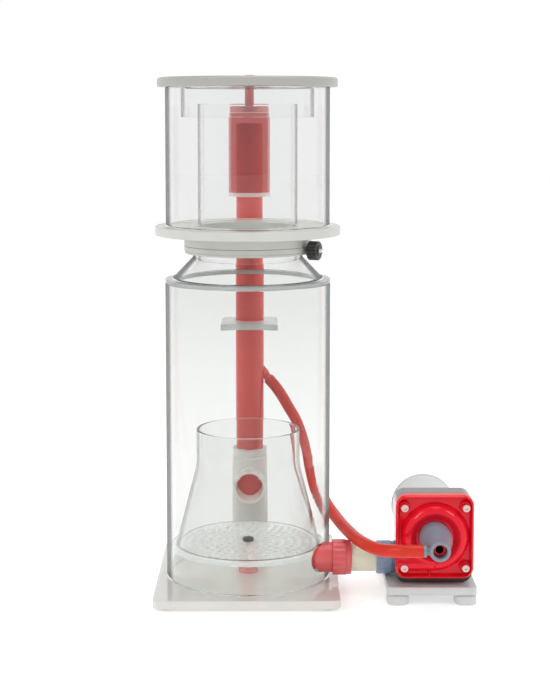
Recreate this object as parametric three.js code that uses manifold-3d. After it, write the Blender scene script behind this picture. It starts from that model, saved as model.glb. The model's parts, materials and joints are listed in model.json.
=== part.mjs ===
// Protein skimmer with an external needle-wheel pump. Millimetres, +Z up.
// The skimmer column is modelled about its own axis, and the whole object is then centred on its footprint.
import * as THREE from 'three';
import { mergeVertices } from 'three/addons/utils/BufferGeometryUtils.js';
import Module from 'manifold-3d';

const wasm = await Module();
wasm.setup();

// ---------- Driving dimensions ----------
const GAP = 0.3; // between pieces that rest on each other
const ROUND = 32; // facets of the column's large rings, which all share them
const SMALL = 16; // facets of small round pieces
const FINE = 10; // facets of screws and pins
const DRUM = 24; // facets of the pump's casing and motor

// Reaction chamber
const BODY_R = 100;
const WALL = 5;
const FOOT_H = 3;
const FOOT_R = 5;
const FOOT_INSET = 15;
const BASE_W = 220;
const BASE_FRONT = -118;
const BASE_REAR = 168;
const BASE_T = 10;
const BODY_TOP = 373;
const TOP_PLATE_T = 4.7;
const CONE_FOOT_R = 91;
const CONE_NECK_R = 65.5;
const CONE_WALL = 4;
const NECK_RING_R = 77;
const NECK_RING_BORE = 61;
const NECK_RING_BOTTOM = 409.3;
const NECK_RING_TOP = 418.2;

// Collection cup and lid
const CUP_COLLAR_TOP = 431;
const CUP_FLANGE_R = 112;
const CUP_FLANGE_T = 11;
const CUP_R = 99;
const CUP_TOP = 608;
const NECK_R = 60;
const NECK_WALL = 4;
const NECK_BOTTOM = 400;
const NECK_TOP = 588;
const LID_R = 108.5;
const LID_T = 11.5;
const LID_EDGE = 2;
const LID_COLLAR_R = 80;
const LID_COLLAR_DROP = 35.5;
const CUP_SEAL_R = 67.5;
const CUP_SEAL_SECTION = 1.1;

// Locking thumbscrew through the neck ring
const SCREW_TURN = -25; // degrees from +X towards the front
const SCREW_Z = 414.6;
const SHANK_R = 2.4;
const SHANK_HOLE_R = 2.7;
const PAD_START = 60.5;
const PAD_T = 2;
const SHANK_TIP = 98;
const KNOB_START = 80;
const KNOB_L = 14;
const KNOB_R = 11.4;
const KNOB_RIBS = 16;

// Bubble plate, cone and centre post
const PLATE_BOTTOM = 47;
const PLATE_T = 5;
const PLATE_HOLE_R = 3.5;
const PLATE_RINGS = [[28, 6], [53, 12], [78, 18]]; // ring radius, holes in it
const POST_R = 10;
const POST_FOOT_R = 12;
const POST_FOOT_H = 5;
const POST_BORE_R = 3.4;
const CENTRE_SCREW_HEAD_R = 7;
const BUBBLE_CONE_FOOT_R = 88;
const BUBBLE_CONE_R = 63;
const BUBBLE_CONE_SHOULDER = 149;
const BUBBLE_CONE_TOP = 193;
const BUBBLE_CONE_WALL = 3.5;

// Feed line from the pump into the chamber, along X
const FEED_Y = -40;
const FEED_Z = 43;
const SOCKET_R = 18;
const SOCKET_BORE = 13;
const SOCKET_START = 70; // then trimmed flush with the chamber's bore
const SOCKET_THREAD_R = 18.9;
const NUT_START = 102.3;
const NUT_END = 125;
const NUT_R = 21.5;
const NUT_LIP = 6.5;
const NUT_FLATS = 12;
const PIPE_R = 17;
const PIPE_BORE = 14;
const PIPE_END = 166;
const SLEEVE_START = 155;
const SLEEVE_END = 177;
const SLEEVE_R = 20;

// Rear standpipe, outside the chamber
const RISER_Y = 143;
const RISER_R = 19;
const RISER_WALL = 3.5;
const RISER_BOTTOM = 66;
const RISER_TOP = 564;
const TEE_R = 25;
const TEE_BORE = 19.6;
const TEE_TOP = 138;
const PORT_Z = 96;
const PORT_R = 21.5;
const PORT_BORE = 18;
const OUTLET_Z = 46;
const OUTLET_R = 20;
const OUTLET_BORE = 16;
const OUTLET_END = 178;
const WINDOW_R = 12;
const BRACKET_Z = 300;
const BRACKET_T = 8;
const BRACKET_W = 75;
const BRACKET_REAR = 168;
const BARB_Z = 260; // where its axis meets the standpipe's
const BARB_TILT = 50; // degrees below level
const BARB_TIP = 39.2;
const BARB_R = 6.5;

// Air silencer on the standpipe
const HEAD_R = 30;
const HEAD_WALL = 3;
const HEAD_RING_BOTTOM = 470;
const HEAD_RING_T = 5;
const HEAD_CAP_BOTTOM = 578;
const HEAD_CAP_T = 8;
const NIPPLE_R = 6.8;
const NIPPLE_BORE = 4;
const NIPPLE_TOP = 626;

// Pump, with its shaft along Y
const PUMP_X = 221;
const SHAFT_Z = 81;
const COVER_W = 92;
const COVER_H = 100;
const COVER_FRONT = -92;
const COVER_T = 16;
const COVER_EDGE = 3;
const COVER_CORNER = 13;
const SCROLL_R = 42;
const SCROLL_RISE = 3;
const SCREW_SPREAD = 36;
const COVER_SCREW_R = 2.2;
const COVER_SCREW_HEAD_R = 4.4;
const FLANGE_W = 92;
const FLANGE_T = 26;
const FLANGE_BOTTOM = 22.6;
const FLANGE_TOP = 131;
const CASING_R = 42;
const CASING_END = -22;
const CHAMBER_R = 38;
const CHAMBER_END = -28;
const MOTOR_R = 40;
const MOTOR_END = 58;
const CAP_T = 12;
const CAN_R = 20;
const CAN_END = 38;
const BEARING_R = 8;
const SHAFT_R = 3;
const PEDESTAL_W = 62;
const FOOT_PLATE_X = 218;
const FOOT_PLATE_W = 106;
const FOOT_PLATE_FRONT = -95;
const FOOT_PLATE_REAR = 62;
const FOOT_PLATE_T = 10;
const PUMP_FOOT_W = 26;
const PUMP_FOOT_H = 12;
const NOZZLE_BASE_R = 19;
const NOZZLE_TIP_R = 12;
const NOZZLE_TIP = -150;
const NOZZLE_BORE = 8;
const AIR_Y = -143;
const AIR_Z = 80;
const AIR_BARB_END = 212.6;

// Air hose: the route of its centre, from the nozzle's air barb to the standpipe's barb
const HOSE_R = 7.5;
const HOSE_SIDES = 10;
const HOSE_STEPS = 34;
const HOSE_ROUTE = [
  [202, -143, 80], [188, -143, 80], [172, -139, 79], [156, -128, 77],
  [143, -106, 75.5], [132.5, -78, 74.5], [124, -46, 74], [116, -12, 74.5],
  [108.5, 22, 76.5], [99.5, 54, 82.5], [90, 84, 95], [83, 106, 117],
  [77, 124, 144.5], [66, 135, 171.5], [53, 141, 192], [39, 143, 213.5], [25.4, 143, 229.7],
];

// ---------- Derived places ----------
const BASE_BOTTOM = FOOT_H + GAP;
const BASE_TOP = BASE_BOTTOM + BASE_T;
const PLATE_TOP = PLATE_BOTTOM + PLATE_T;
const CONE_BOTTOM = BODY_TOP + GAP + TOP_PLATE_T + GAP;
const CUP_COLLAR_BOTTOM = NECK_RING_TOP + GAP;
const CUP_FLANGE_BOTTOM = CUP_COLLAR_TOP + GAP;
const CUP_FLANGE_TOP = CUP_FLANGE_BOTTOM + CUP_FLANGE_T;
const LID_BOTTOM = CUP_TOP + GAP;
const COVER_BACK = COVER_FRONT + COVER_T;
const FLANGE_START = COVER_BACK + GAP;
const FLANGE_END = FLANGE_START + FLANGE_T;
const SCREW_END = FLANGE_START + 9;
const CASING_START = FLANGE_END + GAP;
const MOTOR_START = CASING_END + GAP;
const FOOT_PLATE_BOTTOM = PUMP_FOOT_H + GAP;
const FOOT_PLATE_TOP = FOOT_PLATE_BOTTOM + FOOT_PLATE_T;

// The origin is the centre of the footprint, from the cup flange and the outlet to the pump's foot plate and nozzle.
const COLUMN_X = (CUP_FLANGE_R - (FOOT_PLATE_X + FOOT_PLATE_W / 2)) / 2;
const COLUMN_Y = -(OUTLET_END + NOZZLE_TIP) / 2;

// ---------- Materials: colour, roughness, metalness ----------
function finish(color, roughness, metalness = 0, opacity = 1) {
  return new THREE.MeshStandardMaterial({ color, roughness, metalness, opacity, transparent: opacity < 1 });
}

const WHITE_GLOSS = finish(0xf2f1ee, 0.15);
const CLEAR = finish(0xdfe5e3, 0.05, 0, 0.25);
const GREY_CLEAR = finish(0xb9bdb8, 0.25, 0, 0.8);
const GREY_PLASTIC = finish(0xd2d3ce, 0.35);
const RED_CLEAR = finish(0xbe4640, 0.12, 0, 0.8);
const RED_PLASTIC = finish(0xd21528, 0.2);
const RED_HOSE = finish(0xc82a2c, 0.35);
const BLUE_GREY = finish(0x6f8399, 0.35);
const BLACK = finish(0x1c1b19, 0.5);
const WHITE_PLASTIC = finish(0xe6e6e3, 0.4);
const STEEL = finish(0xb8bcc0, 0.25, 0.9);
const CERAMIC = finish(0xf4f1e8, 0.3);
const DARK_METAL = finish(0x4a4a4e, 0.45, 0.7);

// ---------- Solids ----------
function toSolid(geometry) {
  const bare = geometry.clone();
  bare.deleteAttribute('normal');
  bare.deleteAttribute('uv');
  const merged = mergeVertices(bare, 1e-3);
  return new wasm.Manifold(new wasm.Mesh({
    numProp: 3,
    vertProperties: Float32Array.from(merged.attributes.position.array),
    triVerts: Uint32Array.from(merged.index.array),
  }));
}

function toGeometry(solid) {
  const mesh = solid.getMesh();
  const geometry = new THREE.BufferGeometry();
  geometry.setAttribute('position', new THREE.BufferAttribute(mesh.vertProperties, 3));
  geometry.setIndex(new THREE.BufferAttribute(mesh.triVerts, 1));
  return geometry;
}

function cut(geometry, ...tools) {
  return toGeometry(tools.reduce((solid, tool) => solid.subtract(toSolid(tool)), toSolid(geometry)));
}

function join(geometry, ...others) {
  return toGeometry(others.reduce((solid, other) => solid.add(toSolid(other)), toSolid(geometry)));
}

// A profile of [radius, height] points, closed on itself, turned about Z.
function turned(profile, facets = ROUND) {
  const points = [...profile, profile[0]].map(([radius, height]) => new THREE.Vector2(radius, height));
  return new THREE.LatheGeometry(points, facets).rotateX(Math.PI / 2);
}

function tube(outer, inner, bottom, top, facets = ROUND) {
  return turned([[inner, bottom], [outer, bottom], [outer, top], [inner, top]], facets);
}

function disc(radius, bottom, top, facets = ROUND) {
  const height = top - bottom;
  return new THREE.CylinderGeometry(radius, radius, height, facets)
    .rotateX(Math.PI / 2)
    .translate(0, 0, bottom + height / 2);
}

function torus(radius, section, height) {
  return new THREE.TorusGeometry(radius, section, 5, ROUND).translate(0, 0, height);
}

// A shape made about Z, laid along +X or along +Y through the given point. Heights become x or y.
function alongX(geometry, y, z) {
  return geometry.rotateY(Math.PI / 2).translate(0, y, z);
}

function alongY(geometry, x = PUMP_X, z = SHAFT_Z) {
  return geometry.rotateX(-Math.PI / 2).translate(x, 0, z);
}

function box(x0, x1, y0, y1, z0, z1) {
  return new THREE.BoxGeometry(x1 - x0, y1 - y0, z1 - z0)
    .translate((x0 + x1) / 2, (y0 + y1) / 2, (z0 + z1) / 2);
}

function roundedRectangle(width, height, corner) {
  const shape = new THREE.Shape();
  const x = width / 2 - corner;
  const y = height / 2 - corner;
  shape.absarc(x, y, corner, 0, Math.PI / 2);
  shape.absarc(-x, y, corner, Math.PI / 2, Math.PI);
  shape.absarc(-x, -y, corner, Math.PI, 1.5 * Math.PI);
  shape.absarc(x, -y, corner, 1.5 * Math.PI, 2 * Math.PI);
  return shape;
}

// A flat plate of the shape's outline, from bottom to top along Z.
function plate(shape, bottom, top, edge = 0) {
  return new THREE.ExtrudeGeometry(shape, {
    depth: top - bottom - 2 * edge,
    bevelEnabled: edge > 0,
    bevelSize: edge,
    bevelOffset: -edge,
    bevelThickness: edge,
    bevelSegments: 1,
    curveSegments: 3,
  }).translate(0, 0, bottom + edge);
}

// ---------- The object ----------
const skimmer = new THREE.Group();
const column = new THREE.Group();
column.position.set(COLUMN_X, COLUMN_Y, 0);
skimmer.add(column);

function add(name, geometry, material) {
  const mesh = new THREE.Mesh(geometry, material);
  mesh.name = name;
  column.add(mesh);
  return mesh;
}

function buildBase() {
  const depth = BASE_REAR - BASE_FRONT;
  const outline = roundedRectangle(BASE_W, depth, 10);
  const slab = plate(outline, BASE_BOTTOM, BASE_TOP, 1).translate(0, (BASE_REAR + BASE_FRONT) / 2, 0);
  add('base_plate', slab, WHITE_GLOSS);
  const side = BASE_W / 2 - FOOT_INSET;
  const places = [
    [-side, BASE_FRONT + FOOT_INSET], [side, BASE_FRONT + FOOT_INSET],
    [-side, BASE_REAR - FOOT_INSET], [side, BASE_REAR - FOOT_INSET],
  ];
  places.forEach(([x, y], i) => {
    const foot = turned([[0, 0], [FOOT_R, 0], [FOOT_R + 1, FOOT_H], [0, FOOT_H]], FINE);
    add(`rubber_foot_${i + 1}`, foot, BLACK).position.set(x, y, 0);
  });
}

function buildChamber() {
  const shell = tube(BODY_R, BODY_R - WALL, BASE_TOP + GAP, BODY_TOP);
  const inletHole = alongX(disc(SOCKET_R + 0.4, 60, 110, SMALL), FEED_Y, FEED_Z);
  const outletHole = alongY(disc(PORT_R + 0.4, 80, 110, SMALL), 0, PORT_Z);
  add('body_tube', cut(shell, inletHole, outletHole), CLEAR);
  const topPlate = tube(BODY_R, CONE_FOOT_R - 6, BODY_TOP + GAP, BODY_TOP + GAP + TOP_PLATE_T);
  add('body_top_plate', topPlate, GREY_CLEAR);
  const coneTop = NECK_RING_BOTTOM - GAP;
  const cone = turned([
    [CONE_FOOT_R - CONE_WALL, CONE_BOTTOM], [CONE_FOOT_R, CONE_BOTTOM],
    [CONE_NECK_R + 1, coneTop - 5], [CONE_NECK_R, coneTop], [CONE_NECK_R - CONE_WALL, coneTop],
    [CONE_NECK_R + 1 - CONE_WALL, coneTop - 5],
  ]);
  add('transition_cone', cone, CLEAR);
}

function buildNeckRing() {
  const ring = tube(NECK_RING_R, NECK_RING_BORE, NECK_RING_BOTTOM, NECK_RING_TOP);
  const hole = alongX(disc(SHANK_HOLE_R, 50, 90, FINE), 0, SCREW_Z).rotateZ(THREE.MathUtils.degToRad(SCREW_TURN));
  add('neck_ring', cut(ring, hole), GREY_PLASTIC);
}

function knurledKnob() {
  const knob = new THREE.Shape();
  for (let i = 0; i < 2 * KNOB_RIBS; i += 1) {
    const angle = (Math.PI * i) / KNOB_RIBS;
    const radius = i % 2 ? KNOB_R - 1 : KNOB_R;
    const corner = [radius * Math.cos(angle), radius * Math.sin(angle)];
    if (i === 0) knob.moveTo(...corner);
    else knob.lineTo(...corner);
  }
  return plate(knob, KNOB_START, KNOB_START + KNOB_L);
}

function buildThumbscrew() {
  const turn = THREE.MathUtils.degToRad(SCREW_TURN);
  const bore = disc(SHANK_R + GAP, KNOB_START - 1, KNOB_START + KNOB_L + 1, FINE);
  const knob = alongX(cut(knurledKnob(), bore), 0, SCREW_Z);
  add('thumbscrew_knob', knob, BLACK).rotation.z = turn;
  const shankStart = PAD_START + PAD_T + GAP;
  const shank = alongX(disc(SHANK_R, shankStart, SHANK_TIP, FINE), 0, SCREW_Z);
  add('thumbscrew_shank', shank, DARK_METAL).rotation.z = turn;
  const pad = alongX(disc(SHANK_R, PAD_START, PAD_START + PAD_T, FINE), 0, SCREW_Z);
  add('pressure_pad', pad, BLACK).rotation.z = turn;
}

function buildCup() {
  const bore = NECK_R + 0.4;
  const seat = 2 * CUP_SEAL_SECTION;
  const collar = turned([
    [bore, CUP_COLLAR_BOTTOM], [CUP_SEAL_R - seat, CUP_COLLAR_BOTTOM],
    [CUP_SEAL_R - seat, CUP_COLLAR_BOTTOM + seat + 0.4], [CUP_SEAL_R + seat, CUP_COLLAR_BOTTOM + seat + 0.4],
    [CUP_SEAL_R + seat, CUP_COLLAR_BOTTOM], [NECK_RING_R, CUP_COLLAR_BOTTOM],
    [NECK_RING_R, CUP_COLLAR_TOP], [bore, CUP_COLLAR_TOP],
  ]);
  add('cup_collar', collar, GREY_PLASTIC);
  const sealHeight = CUP_COLLAR_BOTTOM + CUP_SEAL_SECTION + 0.1;
  add('cup_oring', torus(CUP_SEAL_R, CUP_SEAL_SECTION, sealHeight), BLACK);
  add('cup_flange', tube(CUP_FLANGE_R, bore, CUP_FLANGE_BOTTOM, CUP_FLANGE_TOP), GREY_PLASTIC);
  add('cup_tube', tube(CUP_R, CUP_R - WALL, CUP_FLANGE_TOP + GAP, CUP_TOP), CLEAR);
  add('neck_tube', tube(NECK_R, NECK_R - NECK_WALL, NECK_BOTTOM, NECK_TOP), CLEAR);
}

function buildLid() {
  const top = LID_BOTTOM + LID_T;
  const lid = turned([
    [0, LID_BOTTOM], [LID_R - LID_EDGE / 2, LID_BOTTOM], [LID_R, LID_BOTTOM + LID_EDGE / 2],
    [LID_R, top - LID_EDGE], [LID_R - LID_EDGE, top], [0, top],
  ]);
  add('lid_disc', lid, GREY_CLEAR);
  const collarTop = LID_BOTTOM - GAP;
  const collar = tube(LID_COLLAR_R, LID_COLLAR_R - WALL, collarTop - LID_COLLAR_DROP, collarTop);
  add('lid_collar', collar, CLEAR);
}

function buildBubblePlate() {
  const holes = [disc(POST_BORE_R, PLATE_BOTTOM - 1, PLATE_TOP + 1, FINE)];
  for (const [radius, count] of PLATE_RINGS) {
    for (let i = 0; i < count; i += 1) {
      const angle = (2 * Math.PI * i) / count;
      const hole = disc(PLATE_HOLE_R, PLATE_BOTTOM - 1, PLATE_TOP + 1, 6);
      holes.push(hole.translate(radius * Math.cos(angle), radius * Math.sin(angle), 0));
    }
  }
  const sheet = disc(BODY_R - WALL - 0.6, PLATE_BOTTOM, PLATE_TOP);
  add('bubble_plate', cut(sheet, ...holes), CLEAR);
  const wall = BUBBLE_CONE_WALL;
  const cone = turned([
    [BUBBLE_CONE_FOOT_R - wall, PLATE_TOP + GAP], [BUBBLE_CONE_FOOT_R, PLATE_TOP + GAP],
    [BUBBLE_CONE_R, BUBBLE_CONE_SHOULDER], [BUBBLE_CONE_R, BUBBLE_CONE_TOP],
    [BUBBLE_CONE_R - wall, BUBBLE_CONE_TOP], [BUBBLE_CONE_R - wall, BUBBLE_CONE_SHOULDER],
  ]);
  add('bubble_cone', cone, CLEAR);
  const postTop = PLATE_BOTTOM - GAP;
  const post = turned([
    [0, BASE_TOP + GAP], [POST_FOOT_R, BASE_TOP + GAP], [POST_FOOT_R, BASE_TOP + POST_FOOT_H],
    [POST_R, BASE_TOP + POST_FOOT_H], [POST_R, postTop], [POST_BORE_R, postTop],
    [POST_BORE_R, postTop - 22], [0, postTop - 22],
  ], SMALL);
  add('centre_post', post, RED_CLEAR);
  const screw = turned([
    [0, postTop - 20], [POST_BORE_R - GAP, postTop - 20], [POST_BORE_R - GAP, PLATE_TOP + GAP],
    [CENTRE_SCREW_HEAD_R, PLATE_TOP + GAP], [CENTRE_SCREW_HEAD_R, PLATE_TOP + 4], [0, PLATE_TOP + 4],
  ], FINE);
  add('centre_screw', screw, BLACK);
}

function buildFeedLine() {
  const threadEnd = NUT_START + 10;
  const socket = turned([
    [SOCKET_BORE, SOCKET_START], [SOCKET_R, SOCKET_START], [SOCKET_R, NUT_START - GAP],
    [SOCKET_THREAD_R, NUT_START + GAP], [SOCKET_THREAD_R, threadEnd], [SOCKET_BORE, threadEnd],
  ], SMALL);
  const chamberBore = disc(BODY_R - WALL, 0, 100);
  add('inlet_socket', cut(alongX(socket, FEED_Y, FEED_Z), chamberBore), RED_CLEAR);
  const lipStart = NUT_END - NUT_LIP;
  const nutBore = SOCKET_THREAD_R + 0.4;
  const grip = new THREE.CylinderGeometry(NUT_R, NUT_R, NUT_END - NUT_START, NUT_FLATS)
    .rotateX(Math.PI / 2)
    .translate(0, 0, (NUT_START + NUT_END) / 2);
  const nut = cut(grip, disc(nutBore, NUT_START - 1, lipStart, SMALL), disc(PIPE_R + 0.4, lipStart - 1, NUT_END + 1, SMALL));
  add('union_nut', alongX(nut, FEED_Y, FEED_Z), RED_CLEAR);
  const flangeStart = threadEnd + GAP;
  const pipe = turned([
    [PIPE_BORE, flangeStart], [SOCKET_R, flangeStart], [SOCKET_R, flangeStart + 3],
    [PIPE_R, flangeStart + 3], [PIPE_R, PIPE_END], [PIPE_BORE, PIPE_END],
  ], SMALL);
  add('feed_pipe', alongX(pipe, FEED_Y, FEED_Z), CLEAR);
  const ring = tube(SOCKET_THREAD_R, PIPE_R + 0.4, flangeStart + 3 + GAP, lipStart - GAP, SMALL);
  add('union_thrust_ring', alongX(ring, FEED_Y, FEED_Z), WHITE_PLASTIC);
  const sleeve = tube(SLEEVE_R, PIPE_R + 0.4, SLEEVE_START, SLEEVE_END, SMALL);
  add('outlet_sleeve', alongX(sleeve, FEED_Y, FEED_Z), BLUE_GREY);
}

function buildOutletTee() {
  const barrel = disc(TEE_R, BASE_TOP + GAP, TEE_TOP, SMALL).translate(0, RISER_Y, 0);
  const port = alongY(disc(PORT_R, BODY_R - 8, RISER_Y, SMALL), 0, PORT_Z);
  const outlet = alongY(disc(OUTLET_R, RISER_Y, OUTLET_END, SMALL), 0, OUTLET_Z);
  const bore = disc(TEE_BORE, BASE_TOP + GAP + 4, TEE_TOP + 1, SMALL).translate(0, RISER_Y, 0);
  const portBore = alongY(disc(PORT_BORE, BODY_R - 9, RISER_Y, SMALL), 0, PORT_Z);
  const outletBore = alongY(disc(OUTLET_BORE, RISER_Y, OUTLET_END + 1, SMALL), 0, OUTLET_Z);
  const tee = cut(join(barrel, port, outlet), bore, portBore, outletBore);
  add('outlet_tee', tee, GREY_CLEAR);
}

// Shapes made about Z from the standpipe's axis outwards, laid along the air barb.
function alongBarb(geometry) {
  return alongX(geometry, 0, 0).rotateY(THREE.MathUtils.degToRad(BARB_TILT)).translate(0, RISER_Y, BARB_Z);
}

function buildRiser() {
  const pipe = tube(RISER_R, RISER_R - RISER_WALL, RISER_BOTTOM, RISER_TOP, SMALL).translate(0, RISER_Y, 0);
  const turn = THREE.MathUtils.degToRad(45);
  const opening = alongY(disc(WINDOW_R, 5, 30, FINE), 0, PORT_Z).rotateZ(-turn).translate(0, RISER_Y, 0);
  const barbHole = alongBarb(disc(4.6, 8, 36, FINE));
  add('riser_tube', cut(pipe, opening, barbHole), RED_CLEAR);
  const stem = disc(BARB_R, 20, BARB_TIP, FINE);
  const riser = disc(RISER_R + GAP, BARB_Z - 60, BARB_Z, SMALL).translate(0, RISER_Y, 0);
  const saddle = cut(alongBarb(stem), riser);
  const spigot = alongBarb(disc(4.2, 22, BARB_TIP, FINE));
  add('riser_barb', cut(join(saddle, spigot), alongBarb(disc(2.6, 15, BARB_TIP + 1, FINE))), RED_CLEAR);
}

function buildBracket() {
  const half = BRACKET_W / 2;
  const contact = BODY_R + GAP;
  const reach = Math.asin(half / contact);
  const corner = 12;
  const shape = new THREE.Shape();
  shape.absarc(0, 0, contact, Math.PI / 2 + reach, Math.PI / 2 - reach, true);
  shape.absarc(half - corner, BRACKET_REAR - corner, corner, 0, Math.PI / 2);
  shape.absarc(-half + corner, BRACKET_REAR - corner, corner, Math.PI / 2, Math.PI);
  const hole = disc(RISER_R + 0.4, BRACKET_Z - 1, BRACKET_Z + BRACKET_T + 1, SMALL).translate(0, RISER_Y, 0);
  const clearance = disc(contact, BRACKET_Z - 1, BRACKET_Z + BRACKET_T + 1);
  add('riser_bracket', cut(plate(shape, BRACKET_Z, BRACKET_Z + BRACKET_T), hole, clearance), CLEAR);
}

function buildSilencer() {
  const bore = RISER_R + 0.4;
  const sleeveBottom = HEAD_RING_BOTTOM + HEAD_RING_T + GAP;
  const sleeveTop = HEAD_CAP_BOTTOM - GAP;
  const capTop = HEAD_CAP_BOTTOM + HEAD_CAP_T;
  const pieces = [
    ['silencer_ring', tube(HEAD_R, bore, HEAD_RING_BOTTOM, HEAD_RING_BOTTOM + HEAD_RING_T, SMALL), GREY_PLASTIC],
    ['silencer_sleeve', tube(HEAD_R, HEAD_R - HEAD_WALL, sleeveBottom, sleeveTop, SMALL), RED_CLEAR],
    ['silencer_cap', tube(HEAD_R - 0.5, NIPPLE_R + GAP, HEAD_CAP_BOTTOM, capTop, SMALL), RED_CLEAR],
    ['intake_nipple', tube(NIPPLE_R, NIPPLE_BORE, HEAD_CAP_BOTTOM + 1, NIPPLE_TOP, FINE), RED_CLEAR],
  ];
  for (const [name, geometry, material] of pieces) {
    add(name, geometry.translate(0, RISER_Y, 0), material);
  }
}

function screwPlaces() {
  return [[-1, 1], [1, 1], [-1, -1], [1, -1]].map(([right, up]) => [right * SCREW_SPREAD, up * SCREW_SPREAD]);
}

// Plates of the pump stand upright: their outline is drawn in X and Z about the shaft.
function upright(geometry) {
  return geometry.rotateX(Math.PI / 2).translate(PUMP_X, 0, SHAFT_Z);
}

function screwHoles(radius, start, end) {
  return screwPlaces().map(([x, z]) => alongY(disc(radius, start, end, FINE), PUMP_X + x, SHAFT_Z + z));
}

function buildVoluteCover() {
  const face = plate(roundedRectangle(COVER_W, COVER_H, COVER_CORNER), -COVER_BACK, -COVER_FRONT, COVER_EDGE);
  const scroll = disc(SCROLL_R, 80, -COVER_FRONT + SCROLL_RISE, DRUM);
  const runout = box(-COVER_W / 2 + 4, 0, -SCROLL_R, -SCROLL_R + 22, 80, -COVER_FRONT + SCROLL_RISE - 0.6);
  const eye = disc(NOZZLE_BASE_R + 0.4, 70, 110, SMALL);
  const recess = disc(CHAMBER_R - 2, 70, 82, DRUM);
  const cover = upright(cut(join(face, scroll, runout), eye, recess));
  const holes = screwHoles(COVER_SCREW_R + 0.4, COVER_FRONT - 8, COVER_BACK + 1);
  const seats = screwHoles(COVER_SCREW_HEAD_R + 0.8, COVER_FRONT - 8, COVER_FRONT);
  add('volute_cover', cut(cover, ...holes, ...seats), RED_PLASTIC);
  const head = COVER_FRONT - GAP;
  screwPlaces().forEach(([x, z], i) => {
    const screw = turned([
      [0, head - 3], [COVER_SCREW_HEAD_R - 1, head - 3], [COVER_SCREW_HEAD_R, head - 2], [COVER_SCREW_HEAD_R, head],
      [COVER_SCREW_R, head], [COVER_SCREW_R, SCREW_END], [0, SCREW_END],
    ], 8);
    add(`cover_screw_${i + 1}`, alongY(screw, PUMP_X + x, SHAFT_Z + z), STEEL);
  });
}

function buildPumpFlange() {
  const height = FLANGE_TOP - FLANGE_BOTTOM;
  const outline = roundedRectangle(FLANGE_W, height, COVER_CORNER);
  const sheet = plate(outline, -FLANGE_END, -FLANGE_START).rotateX(Math.PI / 2);
  sheet.translate(PUMP_X, 0, (FLANGE_TOP + FLANGE_BOTTOM) / 2);
  const bore = alongY(disc(CHAMBER_R, FLANGE_START - 1, FLANGE_END + 1, DRUM));
  const holes = screwHoles(COVER_SCREW_R + 0.4, FLANGE_START - 1, SCREW_END + 1);
  const sleeveSpace = alongX(disc(SLEEVE_R + 0.4, SLEEVE_START, SLEEVE_END + 0.4, SMALL), FEED_Y, FEED_Z);
  const spoutSpace = alongX(disc(PIPE_R + 0.4, SLEEVE_START, PUMP_X, SMALL), FEED_Y, FEED_Z);
  add('pump_flange', cut(sheet, bore, sleeveSpace, spoutSpace, ...holes), BLACK);
}

function buildVoluteCasing() {
  const drum = alongY(disc(CASING_R, CASING_START, CASING_END, DRUM));
  const outlet = alongX(disc(PIPE_R, PIPE_END + 4, PUMP_X, SMALL), FEED_Y, FEED_Z);
  const chamber = alongY(disc(CHAMBER_R, FLANGE_START, CHAMBER_END, DRUM));
  const eye = alongY(disc(CAN_R, CHAMBER_END - 1, CASING_END + 1, SMALL));
  const throat = alongX(disc(SOCKET_BORE, PIPE_END, PUMP_X, SMALL), FEED_Y, FEED_Z);
  add('volute_casing', cut(join(drum, outlet), chamber, eye, throat), RED_PLASTIC);
}

function buildMotor() {
  const drum = alongY(disc(MOTOR_R, MOTOR_START, MOTOR_END, DRUM));
  const half = PEDESTAL_W / 2;
  const pedestal = box(PUMP_X - half, PUMP_X + half, MOTOR_START, MOTOR_END - 4, FOOT_PLATE_TOP + GAP, SHAFT_Z - 20);
  const can = alongY(disc(CAN_R, MOTOR_START - 1, CAN_END, SMALL));
  const seat = alongY(disc(BEARING_R + GAP, CAN_END - 1, CAN_END + 10, FINE));
  add('motor_housing', cut(join(drum, pedestal), can, seat), WHITE_PLASTIC);
  const start = MOTOR_END + GAP;
  const cap = turned([
    [0, start], [MOTOR_R, start], [MOTOR_R, start + CAP_T - 5], [MOTOR_R - 5, start + CAP_T], [0, start + CAP_T],
  ], DRUM);
  add('motor_end_cap', alongY(cap), WHITE_PLASTIC);
  const glandStart = start + CAP_T + GAP;
  const gland = turned([
    [0, glandStart], [9, glandStart], [9, glandStart + 6], [6.5, glandStart + 8], [6.5, glandStart + 16],
    [4, glandStart + 16], [4, glandStart + 8], [0, glandStart + 8],
  ], FINE);
  add('cable_gland', alongY(gland, PUMP_X, SHAFT_Z + 22), BLACK);
}

function buildRotor() {
  const bore = disc(SHAFT_R + GAP, -100, 100, FINE);
  const magnet = cut(disc(CAN_R - 1.5, -24, CAN_END - 3, SMALL), bore);
  add('rotor_magnet', alongY(magnet), DARK_METAL);
  const wheelStart = -36;
  const pins = [];
  for (const [radius, count] of [[20, 6], [30, 10]]) {
    for (let i = 0; i < count; i += 1) {
      const angle = (2 * Math.PI * i) / count;
      const pin = disc(1.6, wheelStart - 20, wheelStart + 1, 5);
      pins.push(pin.translate(radius * Math.cos(angle), radius * Math.sin(angle), 0));
    }
  }
  const hub = disc(9, wheelStart - 22, -24.3, SMALL);
  const wheel = cut(join(disc(34, wheelStart, wheelStart + 3, SMALL), hub, ...pins), bore);
  add('needle_wheel', alongY(wheel), WHITE_PLASTIC);
  add('pump_shaft', alongY(disc(SHAFT_R, wheelStart - 26, CAN_END + 9, FINE)), CERAMIC);
  const bearing = tube(BEARING_R, SHAFT_R + 0.4, CAN_END + GAP, CAN_END + 9, FINE);
  add('rear_bearing', alongY(bearing), CERAMIC);
}

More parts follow.
